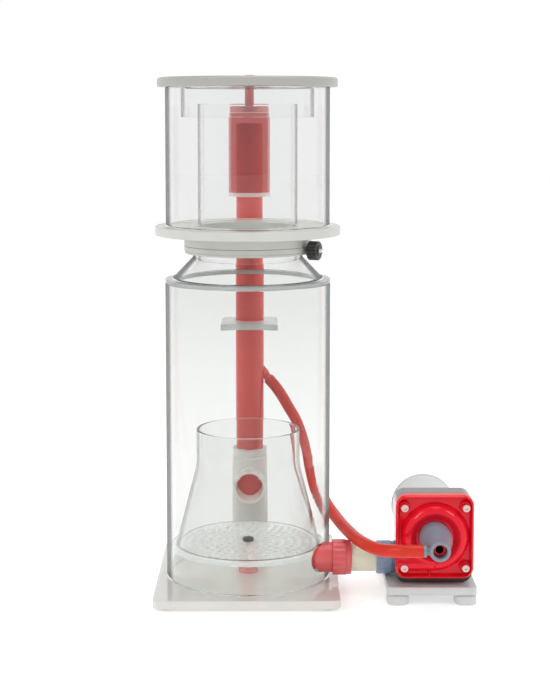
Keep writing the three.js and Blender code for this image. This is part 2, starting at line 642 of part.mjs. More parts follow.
function buildPumpStand() {
  const depth = FOOT_PLATE_REAR - FOOT_PLATE_FRONT;
  const middle = (FOOT_PLATE_REAR + FOOT_PLATE_FRONT) / 2;
  const slab = plate(roundedRectangle(FOOT_PLATE_W, depth, 6), FOOT_PLATE_BOTTOM, FOOT_PLATE_TOP, 1);
  add('pump_foot_plate', slab.translate(FOOT_PLATE_X, middle, 0), WHITE_PLASTIC);
  const side = (FOOT_PLATE_W - PUMP_FOOT_W) / 2;
  const along = (depth - PUMP_FOOT_W) / 2;
  [[-1, -1], [1, -1], [-1, 1], [1, 1]].forEach(([right, back], i) => {
    const foot = plate(roundedRectangle(PUMP_FOOT_W, PUMP_FOOT_W, 4), 0, PUMP_FOOT_H);
    const mesh = add(`pump_foot_${i + 1}`, foot, WHITE_PLASTIC);
    mesh.position.set(FOOT_PLATE_X + right * side, middle + back * along, 0);
  });
}

function buildNozzle() {
  const cone = turned([
    [NOZZLE_BORE, NOZZLE_TIP], [NOZZLE_TIP_R - 0.8, NOZZLE_TIP], [NOZZLE_TIP_R, NOZZLE_TIP + 1],
    [NOZZLE_TIP_R + 0.5, NOZZLE_TIP + 15], [NOZZLE_BASE_R, -108], [NOZZLE_BASE_R, -80],
    [NOZZLE_BASE_R - 4, -80], [NOZZLE_BASE_R - 4, -104], [NOZZLE_BORE, NOZZLE_TIP + 16],
  ], DRUM);
  const airHole = alongX(disc(4.4, PUMP_X - 30, PUMP_X, FINE), AIR_Y, AIR_Z);
  add('suction_nozzle', cut(alongY(cone), airHole), BLUE_GREY);
  const hoseStart = HOSE_ROUTE[0][0];
  const barb = turned([
    [2.4, hoseStart + GAP], [HOSE_R - 0.5, hoseStart + GAP], [HOSE_R - 0.5, hoseStart + 4],
    [4, hoseStart + 4], [4, AIR_BARB_END], [2.4, AIR_BARB_END],
  ], FINE);
  add('air_barb', alongX(barb, AIR_Y, AIR_Z), BLUE_GREY);
}

function buildAirHose() {
  const route = new THREE.CatmullRomCurve3(HOSE_ROUTE.map((point) => new THREE.Vector3(...point)));
  const section = new THREE.Shape();
  for (let i = 0; i < HOSE_SIDES; i += 1) {
    const angle = (2 * Math.PI * i) / HOSE_SIDES;
    const corner = [HOSE_R * Math.cos(angle), HOSE_R * Math.sin(angle)];
    if (i === 0) section.moveTo(...corner);
    else section.lineTo(...corner);
  }
  const hose = new THREE.ExtrudeGeometry(section, { steps: HOSE_STEPS, extrudePath: route, bevelEnabled: false });
  add('air_hose', hose, RED_HOSE);
}

buildBase();
buildChamber();
buildNeckRing();
buildThumbscrew();
buildCup();
buildLid();
buildBubblePlate();
buildFeedLine();
buildOutletTee();
buildRiser();
buildBracket();
buildSilencer();
buildVoluteCover();
buildPumpFlange();
buildVoluteCasing();
buildMotor();
buildRotor();
buildPumpStand();
buildNozzle();
buildAirHose();

export default skimmer;
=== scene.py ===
"""Looks of the protein skimmer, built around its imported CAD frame. Metres, +Z up, -Y towards the camera."""

import json
import math

import bmesh
import bpy
from mathutils import Matrix, Vector


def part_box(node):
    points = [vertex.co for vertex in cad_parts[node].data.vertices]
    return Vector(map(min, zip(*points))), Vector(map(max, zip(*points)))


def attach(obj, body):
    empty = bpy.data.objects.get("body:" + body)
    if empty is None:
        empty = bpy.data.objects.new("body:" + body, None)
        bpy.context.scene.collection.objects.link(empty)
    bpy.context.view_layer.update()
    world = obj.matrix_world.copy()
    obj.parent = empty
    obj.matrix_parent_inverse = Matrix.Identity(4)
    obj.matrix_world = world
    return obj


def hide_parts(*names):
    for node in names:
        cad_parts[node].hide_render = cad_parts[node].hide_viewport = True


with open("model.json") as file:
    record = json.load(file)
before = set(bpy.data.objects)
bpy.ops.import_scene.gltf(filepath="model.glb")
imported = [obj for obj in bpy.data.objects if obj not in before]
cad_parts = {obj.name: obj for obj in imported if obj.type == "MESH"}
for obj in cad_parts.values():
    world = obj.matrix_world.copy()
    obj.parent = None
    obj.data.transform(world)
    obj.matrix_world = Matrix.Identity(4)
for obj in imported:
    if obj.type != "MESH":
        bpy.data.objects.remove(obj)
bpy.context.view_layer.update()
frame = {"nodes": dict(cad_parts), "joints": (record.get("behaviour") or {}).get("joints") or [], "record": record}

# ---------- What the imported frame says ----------
RECORD = frame["record"]
BODY_OF = {node: body for body, nodes in RECORD["behaviour"]["bodies"].items() for node in nodes}
AXIS_OF = {joint["name"]: Vector(joint["axis"]) for joint in frame["joints"]}

UP = Vector((0, 0, 1))
RIGHT = Vector((1, 0, 0))
BACK = Vector((0, 1, 0))
FRONT = Vector((0, -1, 0))

# ---------- Camera ----------
CAMERA_PLACE = (-0.0465, -1.860, 0.580)
CAMERA_TILT = math.radians(-5.5)
CAMERA_SHIFT = -0.125
CAMERA_LENS = 80.0

# ---------- What the materials share ----------
GRAIN_RANGE = (0.3, 0.7)  # what the noise of a material's grain runs between
LAMP_TINT = (0.97, 0.98, 0.975)  # what a clear wall lets through of a lamp's light
WALL_IOR = 1.25  # less than solid acrylic has, so that walls behind walls stay clear
CEMENT_IOR = 1.10

# ---------- Sizes that the frame's boxes don't give ----------
ROUND = 128  # facets of large rings
SMALL = 64  # facets of pipes and small round pieces
FINE = 32  # facets of screws and pins
GAP = 0.0003
FIT = 0.0004  # clearance around pipes and sleeves
TUBE_WALL = 0.005
CEMENT_BEAD = 0.0016
CONE_WALL = 0.004
BUBBLE_WALL = 0.0035
BUBBLE_NECK_R = 0.063
BUBBLE_SHOULDER_Z = 0.149
POLISH = 0.0006  # rounding of a polished acrylic edge
BASE_CORNER = 0.010
NECK_BORE = 0.061
CUP_BORE = 0.0604
SEAL_R = 0.0675
SEAL_SEAT = 0.0022
KNOB_R = 0.0114
KNOB_START = 0.080  # the thumbscrew's lengths are measured from the column's axis
KNOB_END = 0.094
SHANK_R = 0.0024
SHANK_START = 0.0629
SHANK_END = 0.0978
SHANK_BORE = 0.0027
SHANK_HOLE_R = 0.0029
THREAD_DEPTH = 0.00035
THREAD_PITCH = 0.0008
PAD_START = 0.0605
PAD_END = 0.0625
CONE_FOOT_R = 0.091
CONE_NECK_R = 0.0655
TOP_PLATE_BORE = 0.085
PLATE_HOLE_R = 0.0029
PLATE_HOLE_PITCH = 0.0104
POST_BORE_R = 0.0034
SOCKET_BORE = 0.013
SOCKET_R = 0.018
FEED_BORE = 0.014
FEED_R = 0.017
RISER_WALL = 0.0035
TEE_R = 0.025
TEE_BORE = 0.0196
PORT_R = 0.0215
PORT_BORE = 0.018
PORT_Z = 0.096
OUTLET_BORE = 0.016
OUTLET_R = 0.020
OUTLET_Z = 0.046
WINDOW_R = 0.012
WINDOW_TURN = math.radians(45)
BARB_Z = 0.260
BARB_TILT = math.radians(50)
BARB_BORE = 0.0026
BARB_TIP = 0.0392
SILENCER_WALL = 0.003
NIPPLE_BORE = 0.004
NECK_WALL = 0.004
COVER_CORNER = 0.013
COVER_DEPTH = 0.016
COVER_SUNK = 0.0065  # height of the sunk corners over the cover's back
COVER_RIM = 0.0075
COVER_BOSS = 0.0045
COVER_EYE_R = 0.0194
COVER_LOOPS = 84
COVER_SPOKES = 420
SCROLL_R = 0.042
SCROLL_RIDGE = 0.0105
SLEEVE_R = 0.020
SCREW_SPREAD = 0.036
SCREW_HEAD_R = 0.0044
SCREW_R = 0.0022
SHAFT_BORE = 0.0033
MOTOR_CAN_R = 0.020
CASING_BORE = 0.038
NOZZLE_BORE = 0.008
HOSE_R = 0.0075

# The hose's route in the column's own frame, from the pump's nozzle to the standpipe
COLUMN_OFFSET = Vector((-0.0795, -0.014, 0))
HOSE_ROUTE = [
    (0.202, -0.143, 0.080), (0.188, -0.143, 0.080), (0.172, -0.139, 0.079), (0.156, -0.128, 0.077),
    (0.143, -0.106, 0.0755), (0.1325, -0.078, 0.0745), (0.124, -0.046, 0.074), (0.116, -0.012, 0.0745),
    (0.1085, 0.022, 0.0765), (0.0995, 0.054, 0.0825), (0.090, 0.084, 0.095), (0.083, 0.106, 0.117),
    (0.077, 0.124, 0.1445), (0.066, 0.135, 0.1715), (0.053, 0.141, 0.192), (0.039, 0.143, 0.2135),
    (0.0254, 0.143, 0.2297),
]


# ---------- Helpers for Blender's data ----------
def add_object(name, data):
    made = bpy.data.objects.new(name, data)
    bpy.context.scene.collection.objects.link(made)
    return made


def as_mesh(name, bm):
    mesh = bpy.data.meshes.new(name)
    bm.to_mesh(mesh)
    bm.free()
    return mesh


def map_range(tree, source, low, high, start, end, smooth=False):
    """A node that takes the source from between low and high to between start and end; returns its output."""
    node = tree.nodes.new("ShaderNodeMapRange")
    node.interpolation_type = "SMOOTHSTEP" if smooth else "LINEAR"
    for socket, value in (("From Min", low), ("From Max", high), ("To Min", start), ("To Max", end)):
        node.inputs[socket].default_value = value
    tree.links.new(source, node.inputs["Value"])
    return node.outputs[0]


# ---------- Camera, world, lights and floor ----------
def build_camera():
    camera = bpy.data.cameras.new("Camera")
    camera.lens = CAMERA_LENS
    camera.sensor_width = 36
    camera.shift_y = CAMERA_SHIFT
    rig = add_object("Camera", camera)
    rig.location = CAMERA_PLACE
    rig.rotation_euler = (math.radians(90) + CAMERA_TILT, 0, 0)
    bpy.context.scene.camera = rig


def build_world():
    """A white studio that darkens towards its ceiling and its front, so that edges and glossy faces read."""
    world = bpy.data.worlds.new("Studio")
    world.use_nodes = True
    bpy.context.scene.world = world
    nodes = world.node_tree.nodes
    links = world.node_tree.links
    place = nodes.new("ShaderNodeTexCoord")
    parts = nodes.new("ShaderNodeSeparateXYZ")
    links.new(place.outputs["Generated"], parts.inputs[0])
    ceiling = map_range(world.node_tree, parts.outputs["Z"], 0.25, 0.85, 1.0, 0.55, smooth=True)
    front = map_range(world.node_tree, parts.outputs["Y"], -0.95, -0.25, 0.80, 1.0, smooth=True)
    both = nodes.new("ShaderNodeMath")
    both.operation = "MULTIPLY"
    links.new(ceiling, both.inputs[0])
    links.new(front, both.inputs[1])
    links.new(both.outputs[0], nodes["Background"].inputs["Color"])
    nodes["Background"].inputs["Strength"].default_value = 1.02


def build_lamp(name, place, target, width, height, power):
    lamp = bpy.data.lights.new(name, "AREA")
    lamp.shape = "RECTANGLE"
    lamp.size = width
    lamp.size_y = height
    lamp.energy = power
    rig = add_object(name, lamp)
    rig.location = place
    rig.rotation_euler = (Vector(target) - Vector(place)).to_track_quat("-Z", "Y").to_euler()


def build_lamps():
    middle = (0, 0, 0.3)
    build_lamp("KeyLamp", (-1.5, -1.5, 1.9), middle, 0.5, 1.2, 16)
    build_lamp("FillLamp", (1.7, -1.1, 1.7), middle, 0.4, 0.9, 9)
    build_lamp("TopLamp", (0.2, 0.2, 2.4), middle, 1.6, 1.2, 15)


def build_floor():
    bm = bmesh.new()
    bmesh.ops.create_circle(bm, cap_ends=True, segments=96, radius=12)
    floor = add_object("Floor", as_mesh("Floor", bm))
    paper = material("FloorPaper", {
        "Base Color": (0.93, 0.93, 0.93, 1), "Roughness": 0.5, "Specular IOR Level": 0.2,
        "Emission Color": (1, 1, 1, 1), "Emission Strength": 0.33,
    })
    floor.data.materials.append(paper)


# ---------- Material parts ----------
def material(name, sockets):
    made = bpy.data.materials.new(name)
    made.use_nodes = True
    shader = made.node_tree.nodes["Principled BSDF"]
    for socket, value in sockets.items():
        shader.inputs[socket].default_value = value
    return made


def grain(made, size, stretch=(1, 1, 1), detail=3.0):
    """Noise of the given feature size in metres; returns its output."""
    nodes = made.node_tree.nodes
    links = made.node_tree.links
    place = nodes.new("ShaderNodeTexCoord")
    mapping = nodes.new("ShaderNodeMapping")
    mapping.inputs["Scale"].default_value = stretch
    noise = nodes.new("ShaderNodeTexNoise")
    noise.inputs["Scale"].default_value = 1 / size
    noise.inputs["Detail"].default_value = detail
    links.new(place.outputs["Object"], mapping.inputs["Vector"])
    links.new(mapping.outputs[0], noise.inputs["Vector"])
    return noise.outputs["Fac"]


def roughen(made, source, low, high):
    tree = made.node_tree
    spread = map_range(tree, source, *GRAIN_RANGE, low, high)
    tree.links.new(spread, tree.nodes["Principled BSDF"].inputs["Roughness"])


def colour(made, source, first, second):
    nodes = made.node_tree.nodes
    ramp = nodes.new("ShaderNodeValToRGB")
    for element, position, shade in zip(ramp.color_ramp.elements, GRAIN_RANGE, (first, second)):
        element.position = position
        element.color = (*shade, 1)
    made.node_tree.links.new(source, ramp.inputs[0])
    made.node_tree.links.new(ramp.outputs[0], nodes["Principled BSDF"].inputs["Base Color"])


def bump(made, source, depth, strength=1.0):
    nodes = made.node_tree.nodes
    node = nodes.new("ShaderNodeBump")
    node.inputs["Distance"].default_value = depth
    node.inputs["Strength"].default_value = strength
    made.node_tree.links.new(source, node.inputs["Height"])
    made.node_tree.links.new(node.outputs[0], nodes["Principled BSDF"].inputs["Normal"])


def blend_over(made, share, cover):
    """Mixes another shader over what the surface shows so far."""
    nodes = made.node_tree.nodes
    links = made.node_tree.links
    surface = nodes["Material Output"].inputs["Surface"]
    mix = nodes.new("ShaderNodeMixShader")
    links.new(share, mix.inputs[0])
    links.new(surface.links[0].from_socket, mix.inputs[1])
    links.new(cover, mix.inputs[2])
    links.new(mix.outputs[0], surface)


def paint_edge_shade(made, shade, start, end, most):
    """Painted shade: a dark diffuse shader mixed over clear walls where they are seen edge-on, standing in for the
    dark edges that refraction gives thick acrylic.
    """
    weight = made.node_tree.nodes.new("ShaderNodeLayerWeight")
    share = map_range(made.node_tree, weight.outputs["Facing"], start, end, 0, most)
    dark = made.node_tree.nodes.new("ShaderNodeBsdfDiffuse")
    dark.inputs["Color"].default_value = (*shade, 1)
    blend_over(made, share, dark.outputs[0])


def let_lamps_through(made, tint):
    """Shadow rays pass the surface, as light passes a clear wall."""
    nodes = made.node_tree.nodes
    passing = nodes.new("ShaderNodeBsdfTransparent")
    passing.inputs["Color"].default_value = (*tint, 1)
    path = nodes.new("ShaderNodeLightPath")
    blend_over(made, path.outputs["Is Shadow Ray"], passing.outputs[0])


def absorb(made, tint, density):
    nodes = made.node_tree.nodes
    volume = nodes.new("ShaderNodeVolumeAbsorption")
    volume.inputs["Color"].default_value = (*tint, 1)
    volume.inputs["Density"].default_value = density
    made.node_tree.links.new(volume.outputs[0], nodes["Material Output"].inputs["Volume"])


# ---------- Materials ----------
def moulded(name, dark, light, low, high, coat=0.0, specular=0.5):
    """Moulded plastic: a slight flow pattern in its colour, a fine skin and uneven gloss."""
    made = material(name, {"Coat Weight": coat, "Coat Roughness": 0.06, "Specular IOR Level": specular})
    colour(made, grain(made, 0.03), dark, light)
    roughen(made, grain(made, 0.006), low, high)
    bump(made, grain(made, 0.0008), 0.000008, 0.15)
    return made


def clear_wall(name, tint, painted_edge_shade):
    """The wall of a drawn acrylic tube, with the faint lines that drawing leaves along it."""
    made = material(name, {
        "Base Color": (*tint, 1), "Roughness": 0.0, "IOR": WALL_IOR, "Transmission Weight": 1.0,
    })
    bump(made, grain(made, 0.012, (1, 1, 0.03), 2.0), 0.00003, 0.4)
    # painted shade: dark grey mixed over the wall where it is seen edge-on
    if painted_edge_shade:
        paint_edge_shade(made, (0.17, 0.18, 0.175), 0.63, 0.72, painted_edge_shade)
    let_lamps_through(made, LAMP_TINT)
    return made


def clear_walls(name, tint, painted_edge_shade):
    """The outside and the bore of a clear tube; only its outside gets painted shade where it is seen edge-on."""
    return clear_wall(f"{name}Outside", tint, painted_edge_shade), clear_wall(f"{name}Bore", tint, 0)


def acrylic_cement():
    """Set cement: clear, and grey-green in its depth."""
    made = material("AcrylicCement", {
        "Base Color": (0.985, 0.99, 0.988, 1), "Roughness": 0.02, "IOR": CEMENT_IOR,
        "Transmission Weight": 1.0,
    })
    bump(made, grain(made, 0.012, detail=2.0), 0.00001, 0.3)
    let_lamps_through(made, LAMP_TINT)
    absorb(made, (0.55, 0.62, 0.60), 3)
    return made


def tinted(name, body_colour, clearness, low, high, shadow_tint, ior=1.49):
    """Coloured translucent plastic, part clear and part milky."""
    made = material(name, {
        "Base Color": (*body_colour, 1), "IOR": ior, "Transmission Weight": clearness,
    })
    roughen(made, grain(made, 0.008), low, high)
    bump(made, grain(made, 0.004, detail=2.0), 0.00001, 0.2)
    let_lamps_through(made, shadow_tint)
    return made


def white_gloss():
    made = material("WhiteGlossSheet", {"Coat Weight": 0.6, "Coat Roughness": 0.03, "IOR": 1.49})
    colour(made, grain(made, 0.05), (0.62, 0.595, 0.56), (0.66, 0.635, 0.60))
    roughen(made, grain(made, 0.004), 0.12, 0.2)
    bump(made, grain(made, 0.03), 0.0001, 0.3)
    return made


def rubber():
    made = material("BlackRubber", {"Specular IOR Level": 0.3})
    colour(made, grain(made, 0.002), (0.012, 0.012, 0.012), (0.03, 0.03, 0.03))
    roughen(made, grain(made, 0.001), 0.6, 0.8)
    bump(made, grain(made, 0.0005), 0.00006, 0.6)
    return made


def silicone():
    made = material("RedSilicone", {
        "IOR": 1.41, "Specular IOR Level": 0.3, "Coat Weight": 0.1, "Coat Roughness": 0.2,
        "Subsurface Weight": 0.25, "Subsurface Scale": 0.002, "Subsurface Radius": (1.0, 0.2, 0.15),
    })
    colour(made, grain(made, 0.012), (0.56, 0.022, 0.010), (0.64, 0.032, 0.014))
    roughen(made, grain(made, 0.003), 0.28, 0.42)
    bump(made, grain(made, 0.0015), 0.00005, 0.5)
    return made


def turned_metal(name, dark, light, low, high):
    """Lathe-turned metal: fine rings across the axis, with streaks of uneven polish."""
    made = material(name, {"Metallic": 1.0})
    colour(made, grain(made, 0.002, (1, 1, 6)), dark, light)
    roughen(made, grain(made, 0.0006, (1, 1, 8)), low, high)
    bump(made, grain(made, 0.0003, (1, 1, 8)), 0.00001, 0.4)
    return made


# The last number of each wall is how much painted edge shade its outside gets where it is seen edge-on.
BODY_WALLS = clear_walls("BodyAcrylic", (0.865, 0.872, 0.862), 0.85)
CUP_WALLS = clear_walls("CupAcrylic", (0.910, 0.915, 0.912), 0.85)
BUBBLE_WALLS = clear_walls("BubbleAcrylic", (0.910, 0.915, 0.912), 0.45)
THIN_WALLS = clear_walls("ThinAcrylic", (0.985, 0.988, 0.987), 0.55)
CEMENT = acrylic_cement()
DRILLED = tinted("DrilledAcrylic", (0.97, 0.98, 0.975), 0.74, 0.06, 0.12, (0.95, 0.96, 0.955), 1.10)
RIM = tinted("SawnRimAcrylic", (0.50, 0.53, 0.52), 0.50, 0.10, 0.16, (0.8, 0.85, 0.83), 1.3)
SAWN = tinted("SawnAcrylic", (0.80, 0.85, 0.83), 0.50, 0.10, 0.16, (0.8, 0.85, 0.83), 1.3)
LID_GREY = tinted("LidAcrylic", (0.365, 0.355, 0.340), 0.0, 0.29, 0.31, (0.6, 0.6, 0.6))
TEE_GREY = tinted("TeePlastic", (0.98, 0.94, 0.90), 0.15, 0.14, 0.24, (0.8, 0.82, 0.82))
FEED_TINT = tinted("FeedPipePlastic", (0.90, 0.90, 0.77), 0.55, 0.12, 0.2, (0.8, 0.8, 0.7))
RED_TUBE = tinted("RedAcrylicTube", (0.83, 0.075, 0.058), 0.25, 0.08, 0.16, (0.7, 0.15, 0.12))
RED_SLEEVE = tinted("RedAcrylicSleeve", (0.72, 0.30, 0.29), 0.98, 0.03, 0.06, (0.95, 0.8, 0.8), 1.2)
PINK_RING = tinted("PinkAcrylicRing", (0.90, 0.80, 0.79), 0.40, 0.1, 0.2, (0.9, 0.8, 0.8))
RED_CAP = tinted("RedAcrylicCap", (0.72, 0.26, 0.26), 0.55, 0.08, 0.14, (0.7, 0.3, 0.3))
PINK_SOLID = tinted("PinkAcrylicRod", (0.84, 0.42, 0.40), 0.60, 0.08, 0.14, (0.85, 0.5, 0.5))
RED_NUT = tinted("RedUnionPlastic", (0.80, 0.14, 0.15), 0.30, 0.16, 0.26, (0.7, 0.3, 0.3))
GREY = moulded("GreyMachined", (0.51, 0.515, 0.475), (0.56, 0.565, 0.525), 0.28, 0.36, 0.1)
RED = moulded("RedMoulded", (0.70, 0.004, 0.018), (0.76, 0.007, 0.022), 0.12, 0.16, 0.0, 0.3)
WHITE = moulded("WhiteMoulded", (0.55, 0.56, 0.555), (0.60, 0.61, 0.605), 0.30, 0.40)
BLUE = moulded("BlueGreyMoulded", (0.17, 0.215, 0.265), (0.20, 0.245, 0.30), 0.28, 0.32)
# Partly the sleeve's own lighter blue and partly painted light: its colour is raised to make up for the shade it
# sits in beside the pump.
SLEEVE_BLUE_WITH_PAINTED_LIGHT = moulded("BlueGreySleeveWithPaintedLight", (0.20, 0.27, 0.40), (0.24, 0.31, 0.44), 0.22, 0.34, 0.1)
BLACK = moulded("BlackMoulded", (0.022, 0.021, 0.019), (0.040, 0.038, 0.034), 0.30, 0.44)
GLOSS_BLACK = moulded("BlackGlossMoulded", (0.026, 0.025, 0.022), (0.036, 0.034, 0.030), 0.10, 0.18, 0.3)
WHITE_GLOSS = white_gloss()
RUBBER = rubber()
SILICONE = silicone()
STEEL = turned_metal("StainlessSteel", (0.52, 0.52, 0.53), (0.62, 0.62, 0.62), 0.18, 0.34)
SCREW_STEEL = turned_metal("ScrewSteel", (0.60, 0.42, 0.40), (0.70, 0.50, 0.48), 0.22, 0.36)
MAGNET = turned_metal("CoatedMagnet", (0.10, 0.10, 0.11), (0.16, 0.16, 0.17), 0.34, 0.5)
CERAMIC = moulded("Ceramic", (0.80, 0.78, 0.72), (0.86, 0.84, 0.78), 0.12, 0.2)


# ---------- Shapes ----------
def softened(profile, radius, steps=3):
    """The closed outline with every corner that is off the axis rounded by about the radius."""
    result = []
    for i, point in enumerate(profile):
        corner = Vector(point)
        if corner.x < 1e-6:
            result.append(tuple(corner))
            continue
        before = Vector(profile[i - 1]) - corner
        after = Vector(profile[(i + 1) % len(profile)]) - corner
        start = corner + before.normalized() * min(radius, 0.45 * before.length)
        end = corner + after.normalized() * min(radius, 0.45 * after.length)
        for step in range(steps + 1):
            t = step / steps
            result.append(tuple(start.lerp(corner, t).lerp(corner.lerp(end, t), t)))
    return result


def lathe(profile, facets=ROUND):
    """The profile of (radius, height) points turned about Z: a ring, or a solid where it ends on the axis."""
    bm = bmesh.new()
    rings = []
    for radius, height in profile:
        if radius < 1e-6:
            rings.append([bm.verts.new((0, 0, height))])
            continue
        turns = [2 * math.pi * i / facets for i in range(facets)]
        rings.append([bm.verts.new((radius * math.cos(a), radius * math.sin(a), height)) for a in turns])
    is_ring = min(radius for radius, _ in profile) > 1e-6
    following = rings[1:] + (rings[:1] if is_ring else [])
    for low, high in zip(rings, following):
        for i in range(facets):
            j = i + 1
            corners = [low[i % len(low)], low[j % len(low)], high[j % len(high)], high[i % len(high)]]
            face = list(dict.fromkeys(corners))
            if len(face) > 2:
                bm.faces.new(face)
    bmesh.ops.recalc_face_normals(bm, faces=bm.faces)
    return bm


def spun(profile, edge, facets=ROUND, steps=3):
    """The profile with its corners rounded, turned about Z."""
    return lathe(softened(profile, edge, steps), facets)


def tube(outer, inner, bottom, top, edge=POLISH, facets=ROUND):
    return spun([(inner, bottom), (outer, bottom), (outer, top), (inner, top)], edge, facets)


def disc(radius, bottom, top, edge=0.0, facets=SMALL):
    profile = [(0, bottom), (radius, bottom), (radius, top), (0, top)]
    return spun(profile, edge, facets) if edge else lathe(profile, facets)


def circle(radius, facets, x=0.0, y=0.0):
    turns = [2 * math.pi * i / facets for i in range(facets)]
    return [(x + radius * math.cos(a), y + radius * math.sin(a)) for a in turns]


def rounded_rectangle(width, height, corner, steps=8):
    points = []
    for quarter, (side_x, side_y) in enumerate([(1, 1), (-1, 1), (-1, -1), (1, -1)]):
        for i in range(steps + 1):
            angle = math.pi / 2 * (quarter + i / steps)
            x = side_x * (width / 2 - corner) + corner * math.cos(angle)
            y = side_y * (height / 2 - corner) + corner * math.sin(angle)
            points.append((x, y))
    return points


def scalloped(radius, depth, lobes, facets):
    """A round grip's outline with rounded lobes and narrow valleys."""
    points = []
    for i in range(facets):
        angle = 2 * math.pi * i / facets
        valley = (0.5 - 0.5 * math.cos(lobes * angle)) ** 2
        reach = radius - depth * valley
        points.append((reach * math.cos(angle), reach * math.sin(angle)))
    return points


def plate(outlines, bottom, top, edge):
    """A flat plate with rounded edges. The first outline is its rim and the others are holes through it."""
    curve = bpy.data.curves.new("Outline", "CURVE")
    curve.dimensions = "2D"
    curve.fill_mode = "BOTH"
    curve.extrude = (top - bottom) / 2 - edge
    curve.bevel_depth = edge
    curve.bevel_resolution = 2
    curve.offset = -edge
    for outline in outlines:
        spline = curve.splines.new("POLY")
        spline.points.add(len(outline) - 1)
        for point, (x, y) in zip(spline.points, outline):
            point.co = (x, y, 0, 1)
        spline.use_cyclic_u = True
    drawn = add_object("Outline", curve)
    mesh = drawn.to_mesh(depsgraph=bpy.context.evaluated_depsgraph_get(), preserve_all_data_layers=False)
    bm = bmesh.new()
    bm.from_mesh(mesh)
    bpy.data.objects.remove(drawn)
    bmesh.ops.remove_doubles(bm, verts=bm.verts, dist=1e-6)
    bmesh.ops.translate(bm, verts=bm.verts, vec=(0, 0, (bottom + top) / 2))
    bmesh.ops.recalc_face_normals(bm, faces=bm.faces)
    return bm


def moved(bm, x=0.0, y=0.0, z=0.0):
    bmesh.ops.translate(bm, verts=bm.verts, vec=(x, y, z))
    return bm


def laid(bm, direction, origin):
    """A shape made about Z, laid along the direction from the origin."""
    turn = UP.rotation_difference(Vector(direction)).to_matrix().to_4x4()
    bm.transform(Matrix.Translation(origin) @ turn)
    return bm


def combined(operation, bm, *others):
    """The first shape with the others cut from it (DIFFERENCE) or joined to it (UNION)."""
    shapes = [add_object("Shape", as_mesh("Shape", shape)) for shape in (bm, *others)]
    for other in shapes[1:]:
        step = shapes[0].modifiers.new("Step", "BOOLEAN")
        step.operation = operation
        step.solver = "EXACT"
        step.object = other
    bpy.context.view_layer.update()
    result = bmesh.new()
    result.from_object(shapes[0], bpy.context.evaluated_depsgraph_get())
    for shape in shapes:
        bpy.data.objects.remove(shape)
    return result


def cut(bm, *others):
    return combined("DIFFERENCE", bm, *others)


def joined(bm, *others):
    return combined("UNION", bm, *others)


# ---------- Pieces ----------
def piece(name, bm, finish, body, crease=35):
    bmesh.ops.remove_doubles(bm, verts=bm.verts, dist=1e-6)
    bmesh.ops.recalc_face_normals(bm, faces=bm.faces)
    mesh = as_mesh(name, bm)
    mesh.shade_smooth()
    mesh.set_sharp_from_angle(angle=math.radians(crease))
    mesh.materials.append(finish)
    made = add_object(name, mesh)
    weighted = made.modifiers.new("Normals", "WEIGHTED_NORMAL")
    weighted.keep_sharp = True
    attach(made, body)
    return made


def stand_in(node, bm, finish, crease=35):
    """The fine piece that is seen in place of a plain CAD node."""
    made = piece(f"fine_{node}", bm, finish, BODY_OF[node], crease)
    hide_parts(node)
    return made


def clear_tube(node, bm, walls):
    """A clear turned piece with one finish on its outside and another on its bore."""
    outside, bore = walls
    made = stand_in(node, bm, outside)
    made.data.materials.append(bore)
    _, _, middle = extent(node)
    for face in made.data.polygons:
        outward = (face.center - middle).xy
        face.material_index = 0 if face.normal.xy.dot(outward) > 0 else 1


def detail(name, node, bm, finish):
    """A small extra piece fixed to a CAD node's body."""
    return piece(name, bm, finish, BODY_OF[node])


def extent(node):
    low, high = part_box(node)
    return low, high, (low + high) / 2


def round_size(node):
    """Outer radius, bottom, top, and the x and y of the axis of a node turned about Z."""
    low, high, middle = extent(node)
    return (high.x - low.x) / 2, low.z, high.z, middle.x, middle.y


def glue_bead(node, tube_radius, height, upward=1):
    """The thin bead of cement in the corner between a tube and the sheet that it stands on or hangs from."""
    _, _, _, x, y = round_size(node)
    radius = tube_radius + 0.0001
    profile = [(radius, height), (radius + CEMENT_BEAD, height), (radius, height + upward * CEMENT_BEAD)]
    detail(f"{node}_bead", node, moved(spun(profile, 0.0004, steps=2), x, y), CEMENT)


def build_slab(node, corner, edge, finish):
    """A flat sheet with rounded corners that fills the node's box."""
    low, high, middle = extent(node)
    outline = rounded_rectangle(high.x - low.x, high.y - low.y, corner)
    stand_in(node, moved(plate([outline], low.z, high.z, edge), middle.x, middle.y), finish)


def build_base():
    build_slab("base_plate", BASE_CORNER, 0.0012, WHITE_GLOSS)
    for i in range(1, 5):
        node = f"rubber_foot_{i}"
        radius, bottom, top, x, y = round_size(node)
        profile = [
            (0, bottom), (radius * 0.78, bottom), (radius * 0.9, bottom + 0.001),
            (radius * 0.86, bottom + 0.0018), (radius, top - 0.0006), (radius, top), (0, top),
        ]
        stand_in(node, moved(spun(profile, 0.0004, FINE), x, y), RUBBER)


